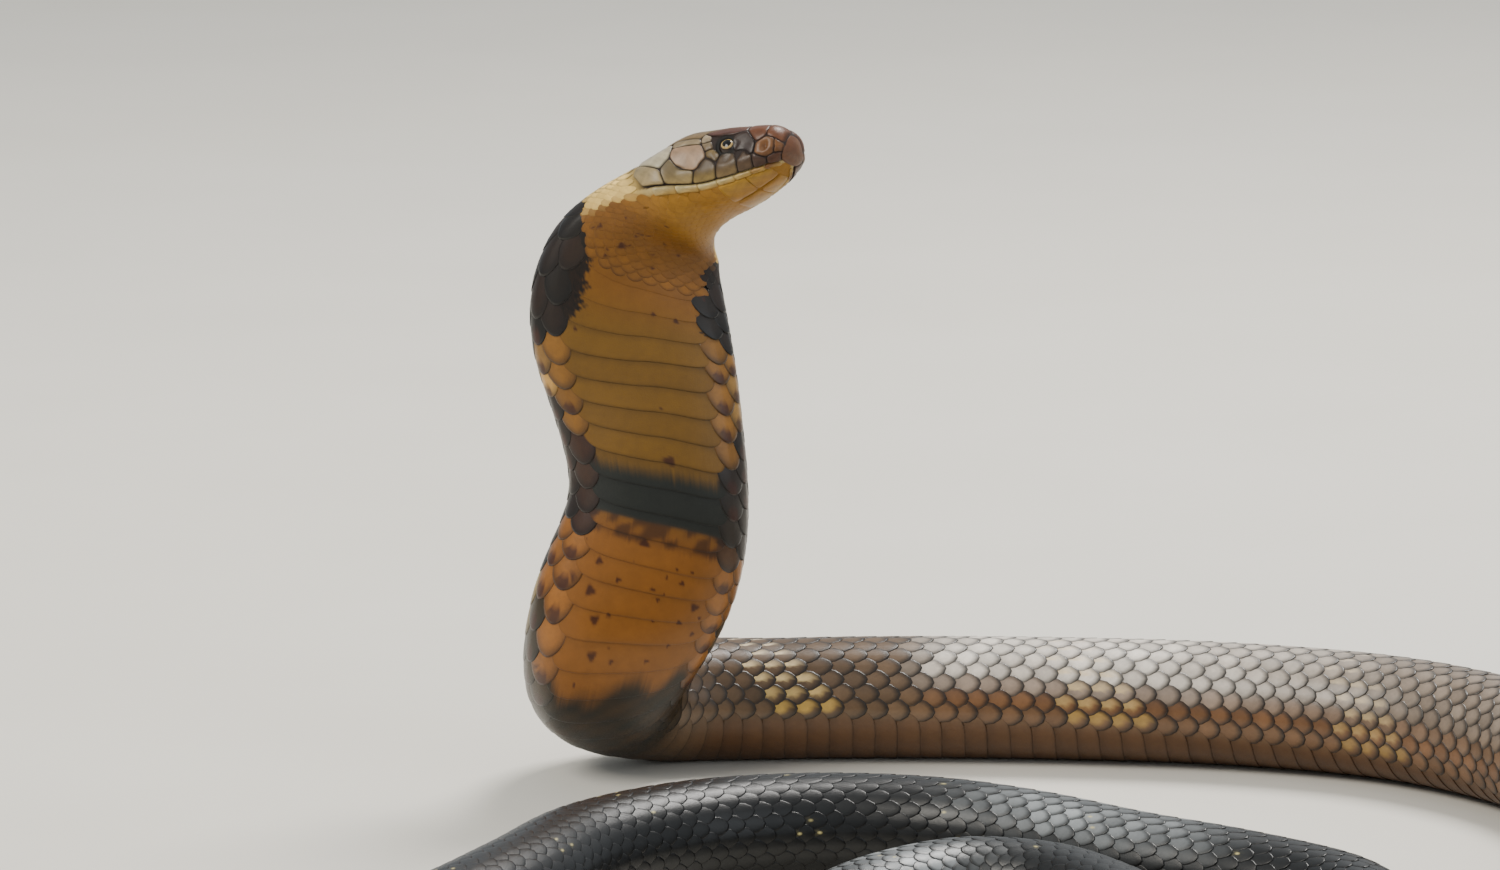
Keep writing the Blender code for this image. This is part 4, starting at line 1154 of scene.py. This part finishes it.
def scale_shape(sizes, count, under):
    """One scale: a closed pillow, pointed in front and round behind, tilted so that it lies over the next."""
    t = np.linspace(0, 2 * np.pi, count, endpoint=False)
    power = np.where(np.cos(t) > 0, 1.0, 1.3)
    x = 0.5 * np.sign(np.cos(t)) * np.abs(np.cos(t)) ** power
    y = 0.5 * np.sign(np.sin(t)) * np.abs(np.sin(t)) ** np.where(np.cos(t) > 0, 1.12, 1.25)
    thick = sizes.scale_thickness / sizes.scale_rise
    rings = [(r, 0.3 * r - 0.3 - thick) for r in (*under, 1.0)]
    rings += [(1.0, -0.32 * thick), (0.9, 0.0), (0.58, 0.13), (0.2, 0.22)]
    points, radius = [[(0, 0, -0.15 - thick)]], [1.15]
    for k, (r, drop) in enumerate(rings):
        points.append(np.stack([x * r, y * r, x * r + 0.15 + drop], 1))
        radius += [r if k > len(under) else 1.15] * count
    faces = fan_faces(0, 1, count, -1) + [(a, d, c, b) for a, b, c, d in tube_faces(len(rings), count, 1)]
    top = 1 + len(rings) * count
    faces += fan_faces(top, top - count, count)
    points = np.vstack([*points, [(0, 0, 0.15 + 0.23)]])
    return template("scale_shape", points, faces, points[:, 0], points[:, 1], [*radius, 0.0])


def columns_between(start, stop):
    """Distances of the scale columns, which are also those of the belly plates."""
    found, at = [], COLUMN_START
    while at > 20:
        at -= float(table_at(PITCH, at))
    while at < stop:
        if at >= start:
            found.append(at)
        at += float(table_at(PITCH, at))
    return found


def dorsal_points(body, start, stop, rows, overlap, draw):
    """Flat places of the back's scales in rows, each row half a column behind its neighbours."""
    last = rows // 2
    spacing = SIDE_ROWS / (last + 0.5)
    found = []
    for at in columns_between(start - 12, stop + 6):
        pitch = float(table_at(PITCH, at))
        for row in range(-last, last + 1):
            column = at + (pitch / 2 if row % 2 else 0) + draw.normal(0, 0.035) * pitch
            if not start <= column < stop:
                continue
            distance = float(body.slanted(column, body.angle(np.array(column), np.array(row * spacing))))
            if distance < NAPE_FROM + 4:
                continue
            if abs(row) * spacing > NECK_FROM and column < NECK_LINE + 2.2 * (abs(row) * spacing - NECK_FROM):
                continue
            hood = float(window(column, 95, 125, 280, 330))
            wide = (1.62 - 0.2 * hood + (0.1 if abs(row) == last else 0)) * spacing
            long = overlap * pitch
            thick = 1.0 - 0.3 * float(step(column, 2600, 3100)) + 0.15 * hood
            turn = (row * spacing + draw.normal(0, 0.02)) % FULL_TURN
            found.append((column, turn, long * draw.uniform(0.95, 1.05),
                          wide * ROW * draw.uniform(0.95, 1.04), thick))
    return np.array(found)


def shaded_scales(colours, column, angles, rim, along, across, serial, count):
    """Colours of scale points: each scale's own tone, darker at its rim partly as painted shadow, with painted shade
    over its front and a painted highlight in its middle, and marks on some of its parts.
    """
    draw = np.random.default_rng(serial)
    scales = len(column) // count
    first = np.arange(scales) * count
    at, off = column[first], off_belly(angles[first])
    throat = (1 - step(at, 98, 116)) * (1 - step(off, 84, 100))
    tone = markings(colours, at, angles[first], draw)
    tone = tone * (1 + (1 - 0.65 * throat) * draw.uniform(-0.18, 0.18, scales))[:, None]

    def each(values):
        return np.repeat(values, count, 0)

    smooth = each(throat)
    lying = each(step(at, 330, 380))
    # Darker rim, most at the rear edge: partly the scale's own darker edge, partly painted shadow of the overlap.
    dark = (0.35 + 0.2 * lying + 0.35 * step(along, 0.0, 0.4)) * step(rim, 0.68 - 0.16 * lying, 1.0)
    dark = dark * (1 - 0.85 * smooth)
    # Painted highlight in the middle of each scale, and painted shade over its front part, which tucks under the
    # scale ahead.
    lit = 1 + 0.25 * (1 - smooth) * (1 - step(rim, 0.2, 0.9))
    skin = each(tone) * (lit * (1 - dark) * (1 - 0.4 * step(-along, 0.1, 0.42) * (1 - smooth)))[:, None]
    share, down = (each(values) for values in chevron_at(at, off))
    up = across * each(np.where(angles[first] % 360 < 180, -1.0, 1.0))
    reach = np.hypot(along + 0.05, (up - 0.2 + 0.1 * down) * (3.0 - 1.7 * down))
    mark = share * (1 - step(reach, 0.2 + 0.04 * down, 0.33 + 0.05 * down))
    pale = blend(colours.cream, PALE_TOP, 0.85 * (1 - down))
    pale = blend(pale, colours.throat, 0.45 * step(down, 0.7, 1.0))
    skin = blend(skin, pale, mark)
    tip = draw.random(scales) < 0.62 * window(at, 224, 232, 286, 300) * (1 - step(off, 74, 92))
    tip |= draw.random(scales) < (0.55 + 0.45 * step(off, 50, 56)) * (at > 137) * (at < 200) * (off > 42)
    blot = each(tip) * (1 - step(np.hypot(along - 0.33, across * 0.9), 0.13, 0.22))
    skin = blend(skin, colours.spot, 0.85 * blot)
    # Painted shade over the front part of each scale in the stretch of painted sheen.
    shaded = each(window(at, 456, 486, 800, 1000)) * (1 - step(along, -0.3, 0.25))
    skin = skin * (1 - 0.3 * shaded)[:, None]
    band = np.abs((at - 0.8 * chevron_lag(off)) % 76 - 38)
    fleck = (band < 6) & (at > 1000) & (off > 66) & (draw.random(scales) < 0.32)
    spot = each(fleck * draw.uniform(0.6, 1.0, scales)) * np.clip(1 - np.hypot(along, across) / 0.1, 0, 1)
    return blend(skin, colours.fleck, spot)


def cover(name, body, surface, shape, points, material, slot, settings, seed):
    """One piece of scales at the given flat places."""
    sizes, colours = settings.cobra_sizes, settings.cobra_colours
    mesh = spread(name, surface, points, shape, material, sizes.scale_rise, sizes.scale_turn, seed)
    column, turn, long, wide = values_of(mesh, "column", "turn", "long", "wide")
    along, across, rim = values_of(mesh, *SHAPE_VALUES)
    angles = body.angle(column, turn)
    tint = shaded_scales(colours, column, angles, rim, along, across, seed, len(shape.data.vertices))
    if column.min() < HOOD_TO:
        here = column + along * long
        around = body.angle(np.clip(here, 0, LENGTH - 2), turn + across * wide / ROW)
        tint = spotted(colours, tint, here, around)
    set_tint(mesh, tint)
    u, v = unwrap(column, turn % FULL_TURN, lane_of(column))
    set_uv(mesh, u + along * 0.003, v + across * 0.003)
    drop_working(mesh)
    new_piece(name, mesh, material, slot)


def plate_shape(sizes, count):
    """One belly plate: a wide band, thin, with round ends and a raised rear edge."""
    stations = np.sin(np.linspace(-np.pi / 2, np.pi / 2, count)) * 0.35 + np.linspace(-1, 1, count) * 0.65
    thick = sizes.scale_thickness / sizes.plate_rise
    front = np.linspace(-0.5, 0.38, max(4, count // 8))
    profile = [(x, -0.3 + 0.95 * (x + 0.5)) for x in front]
    profile += [(0.45, 0.6), (0.485, 0.57), (0.5, 0.48), (0.5, 0.48 - thick)]
    profile += [(x, 0.14 * x - 0.08 - 0.5 * thick) for x in (0.3, 0.1, -0.1, -0.3)] + [(-0.42, -0.42)]
    points, along, across, rim = [], [], [], []
    for y in stations:
        reach = np.sqrt(np.clip(1 - np.abs(y) ** 8, 0.02, 1))
        for x, z in profile:
            points.append((x * reach, y * 0.5, z * (0.3 + 0.7 * reach)))
            along.append(x * reach)
            across.append(y)
            # Nearness to the rim also counts the front half, so that the part under the plate ahead takes painted
            # shade.
            rim.append(max(step(x, 0.42, 0.5), step(-x, 0.0, 0.35), step(abs(y), 0.955, 1.0)))
    size, total = len(profile), len(points)
    faces = tube_faces(count, size) + [tuple(range(size)), tuple(range(total - size, total))[::-1]]
    return template("plate_shape", np.array(points), faces, along, across, rim)


# The baking map of the belly plates has this many cells each way. The plates are centred on the mid belly,
# reach 3.25 turns to each side, and are this many times as long as their spacing.
PLATE_CELLS = 17
PLATE_REACH = 3.25
PLATE_OVERLAP = 1.38


def belly_plates(name, body, surface, settings, start, stop, count, slot):
    """The belly's row of broad plates over a stretch of the body."""
    sizes, colours = settings.cobra_sizes, settings.cobra_colours
    draw = np.random.default_rng(PLATE_SEED)
    shape = plate_shape(sizes, count)
    points = []
    for at in columns_between(start, stop):
        pitch = float(table_at(PITCH, at))
        wide = (2 * PLATE_REACH - 0.9 * float(step(at, 120, 84))) * ROW
        thick = 0.4 + 0.6 * float(step(at, 110, 146))
        points.append((at + draw.normal(0, 0.02) * pitch, HALF_TURN + draw.normal(0, 0.03), PLATE_OVERLAP * pitch,
                       wide, thick))
    material = finish_material(name, 0.42, 0.08, 0.09, 0.25, 160)
    mesh = spread(name, surface, np.array(points), shape, material, sizes.plate_rise, 0.0, 1)
    column, long, thick = values_of(mesh, "column", "long", "thick")
    along, across, rim = values_of(mesh, *SHAPE_VALUES)
    here = column + along * long
    angles = body.angle(np.clip(here, 0, LENGTH - 2), HALF_TURN + across * PLATE_REACH)
    skin = markings(colours, here, angles, draw)
    size = len(shape.data.vertices)
    tone = np.repeat(draw.uniform(0.94, 1.05, len(points)), size)
    # Plates darker towards their rims: painted shade over the front part under the plate ahead, and at the rear edge
    # and ends partly their own darker line, partly painted shade.
    edge = 0.36 - 0.18 * window(here, 218, 232, 282, 300)
    skin = spotted(colours, skin, here, angles) * (tone * (1 - edge * rim * thick**2))[:, None]
    set_tint(mesh, skin)
    serial = np.arange(len(column)) // size
    u = (serial % PLATE_CELLS + 0.5 + across * 0.46) / PLATE_CELLS
    v = (serial // PLATE_CELLS + 0.5 + along * 0.9) / PLATE_CELLS
    set_uv(mesh, u, v)
    drop_working(mesh)
    bpy.data.objects.remove(shape, do_unlink=True)
    new_piece(name, mesh, material, slot)


# Small scales: spacing of their columns, turn of one row, and length of a scale, on the throat and on the neck.
THROAT_SPACING = (2.9, 0.84, 6.6)
NECK_SPACING = (3.3, 0.55, 8.6)


def throat_points(body, draw):
    """Flat places of the small scales of the throat, from the chin's shields to the belly plates."""
    found = []
    pitch, row, long = THROAT_SPACING
    for k, at in enumerate(np.arange(THROAT_FROM, THROAT_TO, pitch)):
        thick = 0.12 + 0.2 * float(step(at, 96, 107))
        for turn in np.arange(*THROAT_TURNS, row):
            place = turn + (0 if k % 2 else row / 2)
            angle = float(folded(body.angle(np.array(float(at)), np.array(place))))
            if at < JAWS_TO and angle < float(mouth_at(at)) + LOWER_LIP_REACH + 5:
                continue
            if at >= JAWS_TO and min(place, FULL_TURN - place) < NECK_TURN + 0.3:
                continue
            found.append((at, place + draw.normal(0, 0.03), long, 1.12 * row * ROW, thick))
    return np.array(found)


def neck_points(draw):
    """Flat places of the small, long scales on the neck's sides behind the jaws."""
    found = []
    pitch, row, long = NECK_SPACING
    for k, at in enumerate(np.arange(*NECK_COLUMNS, pitch)):
        for turn in np.arange(NECK_FROM, NECK_TURN + 0.2, row):
            place = turn + (0 if k % 2 else 0.27)
            if at > NECK_LINE + 2 * (place - NECK_FROM):
                continue
            for side in (place, FULL_TURN - place):
                found.append((at, side + draw.normal(0, 0.02), long, 1.1 * row * ROW, 0.16))
    return np.array(found)


def corner(name):
    """A corner as a distance, an angle, and its offset from the line of the mouth where it lies on the lip."""
    distance, angle = CORNERS[name]
    if angle is LIP:
        return distance, mouth_at(distance) - LIP_GAP, -LIP_GAP
    return distance, angle, None


def outline_of(body, corners, rounding=None):
    """The border of a shield from corner to corner, evenly spaced, its corners a little rounded."""
    border = []
    for here, there in zip(corners, corners[1:] + corners[:1]):
        span = np.linalg.norm(body.point(*here[:2]) - body.point(*there[:2]))
        parts = max(2, round(float(span) / SHIELD_SPACING))
        share = np.arange(parts) / parts
        distance = here[0] + (there[0] - here[0]) * share
        angle = here[1] + ((there[1] - here[1] + 180) % 360 - 180) * share
        if here[2] is not None and there[2] is not None:
            angle = np.sign(here[1]) * (mouth_at(distance) + here[2] + (there[2] - here[2]) * share)
        border.append(np.stack([distance, angle], 1))
    border = np.vstack(border)
    rounding = min(SHIELD_ROUND, len(border) // 14) if rounding is None else rounding
    lap = np.array((0.0, 360.0 * (np.ptp(border[:, 1]) > 300)))
    for _ in range(rounding):
        before = np.vstack([border[-1:] - lap, border[:-1]])
        after = np.vstack([border[1:], border[:1] + lap])
        border = 0.5 * border + 0.25 * (before + after)
    return border


# A shield in section from its seam inwards: distance from the seam and height over the skin.
SHIELD_SECTION = ((0.0, -0.55), (0.0, -0.02), (0.1, 0.13), (0.3, 0.26), (0.65, 0.36), (1.15, 0.44))


class HeadShields:
    """The head's shields, gathered into one mesh. Each has a cell of its own in the baking map."""

    def __init__(self, body, sizes, cells):
        self.body, self.sizes, self.cells = body, sizes, cells
        self.points, self.faces, self.tints, self.places = [], [], [], []
        self.total = 0

    def add(self, border, rise, upper, lower, soft=0.0, centre=None):
        """One shield: sunk at its border, with a rounded rim and a low crown, its colours darker at the seam."""
        point = self.body.point
        centre = np.broadcast_to(border.mean(0) if centre is None else centre, border.shape)
        reach = np.linalg.norm(point(*border.T) - point(*centre.T), axis=1)
        crown = rise * self.sizes.shield_rise / MM
        seam = self.sizes.shield_seam / MM * (1 - 0.6 * soft)
        count = len(border)
        rings, heights, insets = [], [], []
        for inset, height in SHIELD_SECTION:
            share = np.minimum((seam + inset) / np.maximum(reach, 0.5), 0.6)
            rings.append(border + (centre - border) * share[:, None])
            heights += [height] * count
            insets += [inset] * count
        last = rings[-1]
        for share in (0.25, 0.5, 0.75):
            rings.append(last + (centre - last) * share)
            heights += [height + (crown - height) * math.sin(share * math.pi / 2)] * count
            insets += list(inset + np.maximum(reach - seam, 0.4) * share)
        at = np.vstack([*rings, centre[:1]])
        insets = np.array([*insets, max(0.4, (reach - seam).max())])
        points = self.body.world(at[:, 0], at[:, 1], np.array([*heights, crown]))
        if np.ptp(centre[:, 1]) > 300:
            points[-1] = points[-1 - count:-1].mean(0) + self.body.ahead[0] * 0.1 * MM
        top = len(rings) * count
        faces = tube_faces(len(rings), count) + fan_faces(top, top - count, count, -1) + [tuple(range(count))]
        turned, other = point(*border[0]) - point(*centre[0]), point(*border[count // 4]) - point(*centre[0])
        if np.dot(np.cross(turned, other), point(*centre[0], 1.0) - point(*centre[0])) < 0:
            faces = [face[::-1] for face in faces]
        low, high = np.abs(border[:, 1]).min(), np.abs(border[:, 1]).max()
        down = np.clip((np.abs(at[:, 1]) - low) / (high - low + 1e-6), 0, 1)
        draw = np.random.default_rng(SHIELD_SEED + len(self.points))
        phase = draw.uniform(0, 6.28, 4)
        wave = (np.sin(at[:, 0] * 0.9 + phase[0]) * np.sin(at[:, 1] * 0.31 + phase[1])
                + 0.6 * np.sin(at[:, 0] * 2.3 + phase[2]) * np.sin(at[:, 1] * 0.8 + phase[3]))
        tint = blend(to_linear(upper), to_linear(lower), step(down, 0.1, 0.9)) * (1 + 0.13 * wave)[:, None]
        tint = tint * (1 - 0.55 * (1 - soft) * (1 - step(insets, 0.0, 0.75)))[:, None] * draw.uniform(0.95, 1.05)
        cell = np.array((len(self.points) % self.cells, len(self.points) // self.cells))
        local = (at - centre[0]) / (np.abs(border - centre[0]).max(0) + 1e-6)
        self.places.append((cell + 0.5 + 0.45 * local) / self.cells)
        self.faces += [tuple(k + self.total for k in face) for face in faces]
        self.total += len(points)
        self.points.append(points)
        self.tints.append(tint)

    def make_piece(self, name, material, slot):
        mesh = mesh_from(name, np.vstack(self.points), self.faces)
        set_tint(mesh, np.vstack(self.tints))
        set_uv(mesh, *np.vstack(self.places).T)
        new_piece(name, mesh, material, slot)


def build_shields(body, settings):
    """The head's large shields: their top, side, lip and chin plates."""
    shields = HeadShields(body, settings.cobra_sizes, SHIELD_CELLS)

    def below_mouth(at, offset):
        return at, mouth_at(at) + offset, offset

    def pair(corners, *look, rounding=None):
        """One shield on the right side of the head, and its mirror image on the left."""
        for side in (1, -1):
            turned = [(at, side * angle, offset) for at, angle, offset in corners]
            shields.add(outline_of(body, turned, rounding), *look)

    for names, rise, upper, lower in SHIELDS.values():
        pair([corner(name) for name in names.split()], rise, upper, lower)
    for start, stop, upper in zip(LOWER_LIP, LOWER_LIP[1:], LIP_TONES):
        top = [below_mouth(at, LIP_GAP) for at in (start, stop)]
        low = [below_mouth(at, min(LOWER_LIP_REACH, 172 - mouth_at(at))) for at in (stop, start)]
        pair(top + low, 0.42, upper, "9C7A38", 0.92, rounding=1)
    for start, stop in CHIN:
        low = [below_mouth(at, LOWER_LIP_REACH) for at in (start, stop)]
        pair(low + [(stop, 179.0, None), (start, 179.0, None)], 0.6, "97701F", "8E6318", 0.94)
    half = [corner(name) for name in "brow_mid brow_inner crown_side crown_mid".split()]
    whole = half + [(at, -angle, None) for at, angle, _ in half[-2:0:-1]]
    shields.add(outline_of(body, whole), 1.0, "553520", "553520")
    half = [corner(name) for name in "tip_top tip_brow tip_side tip_low tip_lip".split()]
    whole = half + [(at, 360 - angle, None) for at, angle, _ in half[:0:-1]]
    border = outline_of(body, whole)
    tip = np.stack([np.full(len(border), SNOUT_END), border[:, 1]], 1)
    shields.add(border, 0.72, "5C3A25", "65442D", centre=tip)
    material = finish_material("head_shields", 0.36, 0.12, 0.12, 0.35, 380)
    shields.make_piece("head_shields", material, "head_scales")


def build_eyes(body, settings):
    """Two round eyes, each with a round pupil in a thin pale ring."""
    sizes = settings.cobra_sizes
    material = eye_material()
    pupil, iris = sizes.pupil / MM, sizes.iris / MM
    front = [0.35, 0.8, pupil - 0.12, pupil, pupil + 0.1, (pupil + iris) / 2, iris, iris + 0.15, iris + 0.4,
             3.4, 3.9]
    angles = [math.asin(min(r / EYE_RADIUS, 1)) for r in front]
    reach = np.array([EYE_RADIUS * math.sin(a) for a in angles] + [EYE_BACK] * 6)
    angles += [math.radians(a) for a in (75, 90, 110, 130, 150, 165)]
    count = EYE_POINTS
    turn = np.linspace(0, 2 * np.pi, count, endpoint=False)
    black, gold, brown = (np.array(to_linear(code)) for code in ("060506", "B99B62", "241610"))
    for k, (name, (centre, out)) in enumerate(zip(("eye_right", "eye_left"), body.eye_centres)):
        side = unit(np.cross(out, (0, 0, 1.0)))
        up = np.cross(side, out)
        rings = [centre + EYE_RADIUS * (math.sin(a) * (np.cos(turn)[:, None] * side + np.sin(turn)[:, None] * up)
                                        + math.cos(a) * out) for a in angles]
        ends = [centre + EYE_RADIUS * out, centre - EYE_RADIUS * out]
        points = (np.vstack([*rings, ends]) + body.shift) * MM
        top = len(rings) * count
        faces = tube_faces(len(rings), count) + fan_faces(top, 0, count) + fan_faces(top + 1, top - count, count, -1)
        mesh = mesh_from(name + "_ball", points, faces)
        r = np.append(np.repeat(reach, count), (0.0, EYE_BACK))
        turns = np.append(np.tile(turn, len(rings)), (0, 0))
        tint = blend(black, gold, step(r, pupil - 0.02, pupil + 0.08))
        tint = blend(tint, brown, step(r, iris - 0.12, iris + 0.2))
        tint = tint * (0.85 + 0.15 * np.sin(turns * 9 + k))[:, None]
        set_tint(mesh, tint)
        set_uv(mesh, (k + 0.5 + 0.09 * r * np.cos(turns)) / 2, 0.5 + 0.09 * r * np.sin(turns))
        new_piece(name + "_ball", mesh, material, "eye", name)


def build_stage(body):
    """A plain pale floor with soft light from above, and the camera at the photo's angle."""
    mesh = mesh_from("floor", np.array(FLOOR_CORNERS, float), [(0, 1, 2, 3)])
    mesh.materials.append(floor_material())
    floor = placed("floor", mesh)
    world = bpy.data.worlds.new("studio")
    world.use_nodes = True
    fill(world.node_tree, world.node_tree.nodes["Background"], {"Color": SKY, "Strength": SKY_STRENGTH})
    bpy.context.scene.world = world
    middle = Vector(body.shift * MM) + Vector((0, 0, AIM_HEIGHT))
    for name, place, size, power, colour in LIGHTS:
        light = bpy.data.lights.new(name, "AREA")
        light.color, light.size, light.energy = colour, size, power
        lamp = placed(name, light)
        lamp.location = Vector(place) + middle
        lamp.rotation_euler = (-Vector(place)).to_track_quat("-Z", "Y").to_euler()
    above = math.radians(CAMERA_ABOVE)
    back = Vector((0, -math.cos(above), math.sin(above)))
    camera = placed("camera", bpy.data.cameras.new("camera"))
    camera.data.lens = 36 * CAMERA_AWAY / CAMERA_WIDTH
    camera.location = back * CAMERA_AWAY * MM + Vector(body.shift * MM)
    camera.rotation_euler = (math.radians(90 - CAMERA_TILT), 0, 0)
    bpy.context.scene.camera = camera


# The body, worked out once for all the operators.
SHOP = {}


def workshop(context):
    """The body and the scene's settings."""
    if "body" not in SHOP:
        SHOP["body"] = Body()
    return SHOP["body"], context.scene


class COBRA_OT_skin(bpy.types.Operator):
    """Make the skin that runs under scales, plates and shields from snout to tail"""
    bl_idname = "cobra.skin"
    bl_label = "Skin"

    def execute(self, context):
        body, scene = workshop(context)
        build_skin(body, scene.cobra_colours)
        return {"FINISHED"}


class COBRA_OT_scales(bpy.types.Operator):
    """Cover the back and sides with scales in slanting columns, and the throat with small ones"""
    bl_idname = "cobra.scales"
    bl_label = "Scales"

    def execute(self, context):
        body, scene = workshop(context)
        surface = unrolled_surface(body)
        shapes = [scale_shape(scene.cobra_sizes, *shape) for shape in SCALE_SHAPES]
        draw = np.random.default_rng(PLACE_SEED)
        overlap = scene.cobra_sizes.scale_overlap
        for k, (name, start, stop, rows, slot, rough, coat) in enumerate(REGIONS):
            points = dorsal_points(body, start, stop, rows, overlap, draw)
            material = scale_material(name, rough, coat)
            cover(name, body, surface, shapes[min(k, 1)], points, material, slot, scene, SCALE_SEED + k)
        material = scale_material("throat_scales", 0.5, 0.04)
        points = np.vstack([throat_points(body, draw), neck_points(draw)])
        cover("throat_scales", body, surface, shapes[2], points, material, "throat_scales", scene, THROAT_SEED)
        for helper in (surface, *shapes):
            bpy.data.objects.remove(helper, do_unlink=True)
        return {"FINISHED"}


class COBRA_OT_plates(bpy.types.Operator):
    """Lay the broad belly plates along the whole underside"""
    bl_idname = "cobra.plates"
    bl_label = "Belly plates"

    def execute(self, context):
        body, scene = workshop(context)
        surface = unrolled_surface(body)
        for name, start, stop, count, slot in PLATE_REGIONS:
            belly_plates(name, body, surface, scene, start, stop, count, slot)
        bpy.data.objects.remove(surface, do_unlink=True)
        return {"FINISHED"}


class COBRA_OT_shields(bpy.types.Operator):
    """Fit the shields of the head and of the lips and chin"""
    bl_idname = "cobra.shields"
    bl_label = "Head shields"

    def execute(self, context):
        body, scene = workshop(context)
        build_shields(body, scene)
        return {"FINISHED"}


class COBRA_OT_eyes(bpy.types.Operator):
    """Set both eyes in their sockets"""
    bl_idname = "cobra.eyes"
    bl_label = "Eyes"

    def execute(self, context):
        body, scene = workshop(context)
        build_eyes(body, scene)
        return {"FINISHED"}


class COBRA_OT_stage(bpy.types.Operator):
    """Set up the floor, the lights and the camera"""
    bl_idname = "cobra.stage"
    bl_label = "Floor, lights and camera"

    def execute(self, context):
        body, _ = workshop(context)
        build_stage(body)
        return {"FINISHED"}


class COBRA_PT_panel(bpy.types.Panel):
    """The pieces of the cobra and their sizes and colours"""
    bl_label = "Cobra"
    bl_idname = "COBRA_PT_panel"
    bl_space_type = "VIEW_3D"
    bl_region_type = "UI"
    bl_category = "Cobra"

    def draw(self, context):
        column = self.layout.column()
        for operator in OPERATORS:
            column.operator(operator.bl_idname)
        for group in (context.scene.cobra_sizes, context.scene.cobra_colours):
            box = self.layout.box().column()
            for name in group.bl_rna.properties.keys():
                if name not in ("rna_type", "name"):
                    box.prop(group, name)


OPERATORS = (COBRA_OT_skin, COBRA_OT_scales, COBRA_OT_plates, COBRA_OT_shields, COBRA_OT_eyes, COBRA_OT_stage)


def register():
    for kind in (CobraSizes, CobraColours, *OPERATORS, COBRA_PT_panel):
        bpy.utils.register_class(kind)
    bpy.types.Scene.cobra_sizes = bpy.props.PointerProperty(type=CobraSizes)
    bpy.types.Scene.cobra_colours = bpy.props.PointerProperty(type=CobraColours)


def unregister():
    del bpy.types.Scene.cobra_colours
    del bpy.types.Scene.cobra_sizes
    for kind in (COBRA_PT_panel, *OPERATORS[::-1], CobraColours, CobraSizes):
        bpy.utils.unregister_class(kind)


def main():
    register()
    bpy.ops.cobra.skin()
    bpy.ops.cobra.scales()
    bpy.ops.cobra.plates()
    bpy.ops.cobra.shields()
    bpy.ops.cobra.eyes()
    bpy.ops.cobra.stage()


if __name__ == "__main__":
    main()
